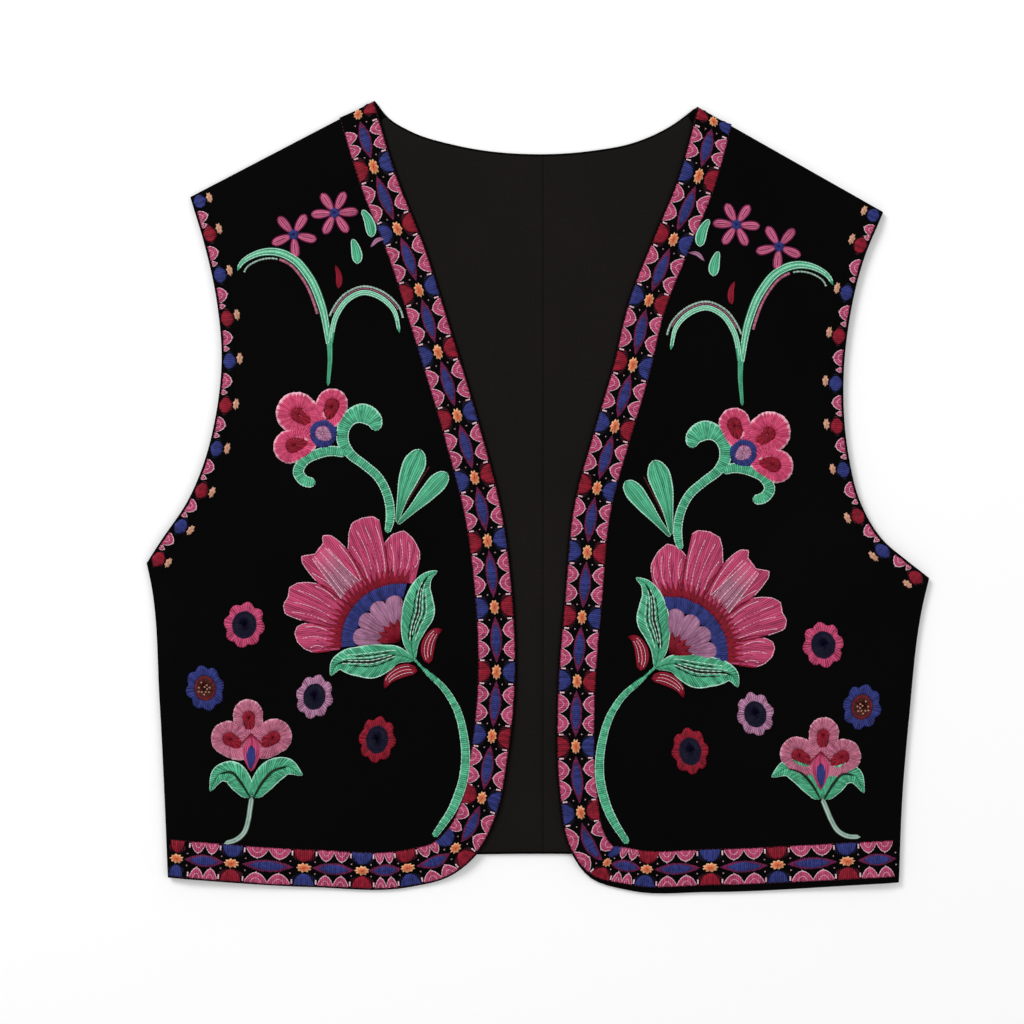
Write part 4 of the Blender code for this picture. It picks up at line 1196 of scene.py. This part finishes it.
def coons(low, high, start, end, nu, nv):
    """A grid between four edges: low and high run along u, start and end run up v."""
    low, high = resampled(low, nu), resampled(high, nu)
    start, end = resampled(start, nv), resampled(end, nv)
    u = np.linspace(0, 1, nu)[:, None, None]
    v = np.linspace(0, 1, nv)[None, :, None]
    corners = (
        (1 - u) * (1 - v) * low[0] + u * (1 - v) * low[-1] + (1 - u) * v * high[0] + u * v * high[-1]
    )
    return (1 - v) * low[:, None] + v * high[:, None] + (1 - u) * start[None] + u * end[None] - corners


def cloth_piece(name, plan, height, thickness, look):
    """A sheet of cloth with its upper face at the given heights, its edges rounded."""
    ns, nt = plan.shape[:2]
    step_s = np.diff(plan, axis=0)[:, :-1]
    step_t = np.diff(plan, axis=1)[:-1]
    turn = (step_s[..., 0] * step_t[..., 1] - step_s[..., 1] * step_t[..., 0]).sum()
    index = np.arange(ns * nt).reshape(ns, nt)
    quads = np.stack([index[:-1, :-1], index[1:, :-1], index[1:, 1:], index[:-1, 1:]], axis=-1).reshape(-1, 4)
    if turn < 0:
        quads = quads[:, ::-1]
    flat = plan.reshape(-1, 2)
    points = np.column_stack([flat, height.reshape(-1)]) / 1000
    piece = mesh_piece(name, points, quads, flat / 10, look)
    shell = piece.modifiers.new("shell", "SOLIDIFY")
    shell.thickness = thickness / 1000
    shell.offset = -1
    edge = piece.modifiers.new("edge", "BEVEL")
    edge.width = 0.3 * thickness / 1000
    edge.segments = 2
    edge.limit_method = "ANGLE"
    edge.angle_limit = ROUNDED_ANGLE
    return piece


def strip_piece(side, lay, edge, inward, name, count):
    """The cloth under a border: a strip between two distances in from an edge."""
    end = edge_length(side, edge) - 0.9
    along, across = np.meshgrid(np.linspace(0.9, end, count), np.linspace(*inward, 8), indexing="ij")
    plan = lay(side, along, across)
    made = patch(plan, np.full(plan.shape[:2], STRIP_RISE), 40, under=range(8))
    return stitched_piece(name, side, [made], "black_cloth")


def front_piece(side):
    """One front: a patch between its border edge, armhole, shoulder and side seam."""
    border, seam, armhole, shoulder = edges_of(side, 2.0)
    plan = coons(border, armhole[::-1], shoulder[::-1], seam, *FRONT_GRID)
    height = front_top(side, plan.reshape(-1, 2)).reshape(plan.shape[:2])
    plan = plan * [side.sign, 1]
    piece = cloth_piece(f"cloth_front_{side.name}", plan, height, CLOTH, "black_cloth")
    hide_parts(f"front_{side.name}")
    return piece


def back_edges():
    """The back's edges: hem, both sides up to the shoulder tips, and the top over shoulders and neck."""
    mirror = np.array([-1, 1])
    _, right_seam, right_armhole, right_shoulder = edges_of(RIGHT, 3.0)
    _, left_seam, left_armhole, left_shoulder = edges_of(LEFT, 3.0)
    right_up = np.vstack([right_seam[:-1], right_armhole]) * mirror
    left_up = np.vstack([left_seam[:-1], left_armhole])
    right_up[0, 1] = back_hem_y(abs(right_up[0, 0]))
    left_up[0, 1] = back_hem_y(left_up[0, 0])
    across = np.linspace(right_up[0, 0], left_up[0, 0], 140)
    hem = np.column_stack([across, back_hem_y(across)])
    neck = smooth_path([right_shoulder[-1] * mirror, *NECKLINE, left_shoulder[-1]], 3.0)
    return {"hem": hem, "right_up": right_up, "left_up": left_up, "neck": neck,
            "right_shoulder": right_shoulder * mirror, "left_shoulder": left_shoulder}


def back_piece():
    """The back: a patch between its hem, its shoulders and neck, and both sides."""
    edges = back_edges()
    top = np.vstack([edges["right_shoulder"][:-1], edges["neck"][:-1], edges["left_shoulder"][::-1]])
    plan = coons(edges["hem"], top, edges["right_up"], edges["left_up"], *BACK_GRID)
    piece = cloth_piece("cloth_back", plan, np.full(plan.shape[:2], CLOTH), CLOTH, "black_cloth")
    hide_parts("back")
    return piece


def fold_height(points):
    """Rise of the lining's folds: a rounded ridge along a slanting line, fading out at both ends."""
    total = np.zeros(len(points))
    for fold in LINING_FOLDS:
        along = (fold.y_top - points[:, 1]) / (fold.y_top - fold.y_low)
        middle = fold.x_top + (fold.x_low - fold.x_top) * along
        across = 1 - np.abs(points[:, 0] - middle) / fold.width
        total += fold.height * ease(across) * ease(4 * along) * ease(4 * (1 - along))
    return total


def neck_y(x):
    """Height of the back's neckline at a distance across."""
    edges = back_edges()
    return np.interp(x, edges["neck"][:, 0], edges["neck"][:, 1])


def lining_piece(name, sign):
    """One half of the lining: a patch between the centre seam and a line under the front."""
    edges = back_edges()
    seam_x = CENTRE_SEAM_X + sign * GAP / 2
    neck_x = 90.0 if sign > 0 else -92.0
    side_up = edges["left_up"] if sign > 0 else edges["right_up"]
    normals = left_normals(side_up) * (1 if sign > 0 else -1)
    side = side_up + normals * LINING_SEAM_INSET
    side = side[side[:, 1] > -205]
    shoulder = edges["left_shoulder"] if sign > 0 else edges["right_shoulder"]
    shoulder_in = shoulder - [0, LINING_SEAM_INSET + 2]
    shoulder_in = shoulder_in[np.abs(shoulder_in[:, 0]) < 188]
    corner_low = np.array([side[0, 0], back_hem_y(side[0, 0]) + LINING_EDGE_INSET])
    side = np.vstack([corner_low, side[side[:, 1] < shoulder_in[0, 1] - 4], shoulder_in[0]])
    across_low = np.linspace(seam_x, corner_low[0], 60)
    low = np.column_stack([across_low, back_hem_y(across_low) + LINING_EDGE_INSET])
    across_top = np.linspace(seam_x, neck_x, 40)
    neck = np.column_stack([across_top, neck_y(across_top) - LINING_EDGE_INSET])
    high = np.vstack([neck, shoulder_in[::-1][np.abs(shoulder_in[::-1, 0]) > 96]])
    centre = np.linspace(low[0], high[0], 60)
    plan = coons(low, high, centre, side, *LINING_GRID)
    flat = plan.reshape(-1, 2)
    height = (CLOTH + GAP + LINING + fold_height(flat)).reshape(plan.shape[:2])
    piece = cloth_piece(f"cloth_{name}", plan, height, LINING, "charcoal_lining")
    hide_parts(name)
    return piece


# Building

back = back_piece()
linings = [lining_piece("lining_right", -1), lining_piece("lining_left", 1)]
for number, vest_side in enumerate((RIGHT, LEFT)):
    chance = np.random.default_rng(20 + number)
    work = {name: [] for name in LOOKS}
    border_work(vest_side, work, chance)
    edging_work(vest_side, work, chance)
    motif_work(vest_side, work, chance)
    ground = strip_piece(vest_side, on_border, "border", (0.8, BORDER_WIDTH), "border_ground", 320)
    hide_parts(f"border_{vest_side.name}")
    edging_ground = strip_piece(vest_side, on_armhole, "armhole", (0.8, 8.0), "edging_ground", 120)
    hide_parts(f"armhole_edging_{vest_side.name}")
    for name, patches in work.items():
        piece_name = f"{name}_stitched" if name in STANDS_FOR else name
        piece = stitched_piece(piece_name, vest_side, patches, LOOKS[name])
        if name in STANDS_FOR:
            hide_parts(f"{name}_{vest_side.name}")
    front_piece(vest_side)

# Floor, light and camera, in metres

FLOOR_REACH = 6.0
FLOOR_Z = -0.0002
FLOOR_TONE = 0.9
SKY_STRENGTH = 0.62
CAMERA_PLACE = (-0.0156, -0.0093, 1.456)

floor_mesh = bpy.data.meshes.new("floor")
turns = ((-1, -1), (1, -1), (1, 1), (-1, 1))
floor_mesh.from_pydata([(x * FLOOR_REACH, y * FLOOR_REACH, FLOOR_Z) for x, y in turns], [], [(0, 1, 2, 3)])
floor = bpy.data.objects.new("floor", floor_mesh)
bpy.context.scene.collection.objects.link(floor)
floor_material = bpy.data.materials.new("floor")
floor_material.use_nodes = True
floor_shader = floor_material.node_tree.nodes["Principled BSDF"]
floor_shader.inputs["Base Color"].default_value = (FLOOR_TONE, FLOOR_TONE, FLOOR_TONE, 1)
floor_shader.inputs["Roughness"].default_value = 0.9
floor_mesh.materials.append(floor_material)

world = bpy.data.worlds.new("studio")
world.use_nodes = True
sky = world.node_tree.nodes["Background"]
sky.inputs["Color"].default_value = (1, 1, 1, 1)
sky.inputs["Strength"].default_value = SKY_STRENGTH
bpy.context.scene.world = world
for name, place, size, energy in (("key", (-1.3, 1.5, 1.7), 1.0, 42), ("fill", (1.5, -0.4, 2.2), 2.0, 14)):
    lamp = bpy.data.lights.new(name, "AREA")
    lamp.size = size
    lamp.energy = energy
    light = bpy.data.objects.new(name, lamp)
    light.location = place
    light.rotation_mode = "QUATERNION"
    way = np.array(place) / np.linalg.norm(place)
    light.rotation_quaternion = Vector(way).to_track_quat("Z", "Y")
    bpy.context.scene.collection.objects.link(light)

lens = bpy.data.cameras.new("camera")
lens.lens = 85
lens.sensor_width = 36
camera = bpy.data.objects.new("camera", lens)
camera.location = CAMERA_PLACE
bpy.context.scene.collection.objects.link(camera)
bpy.context.scene.camera = camera
bpy.context.scene.view_settings.view_transform = "Standard"
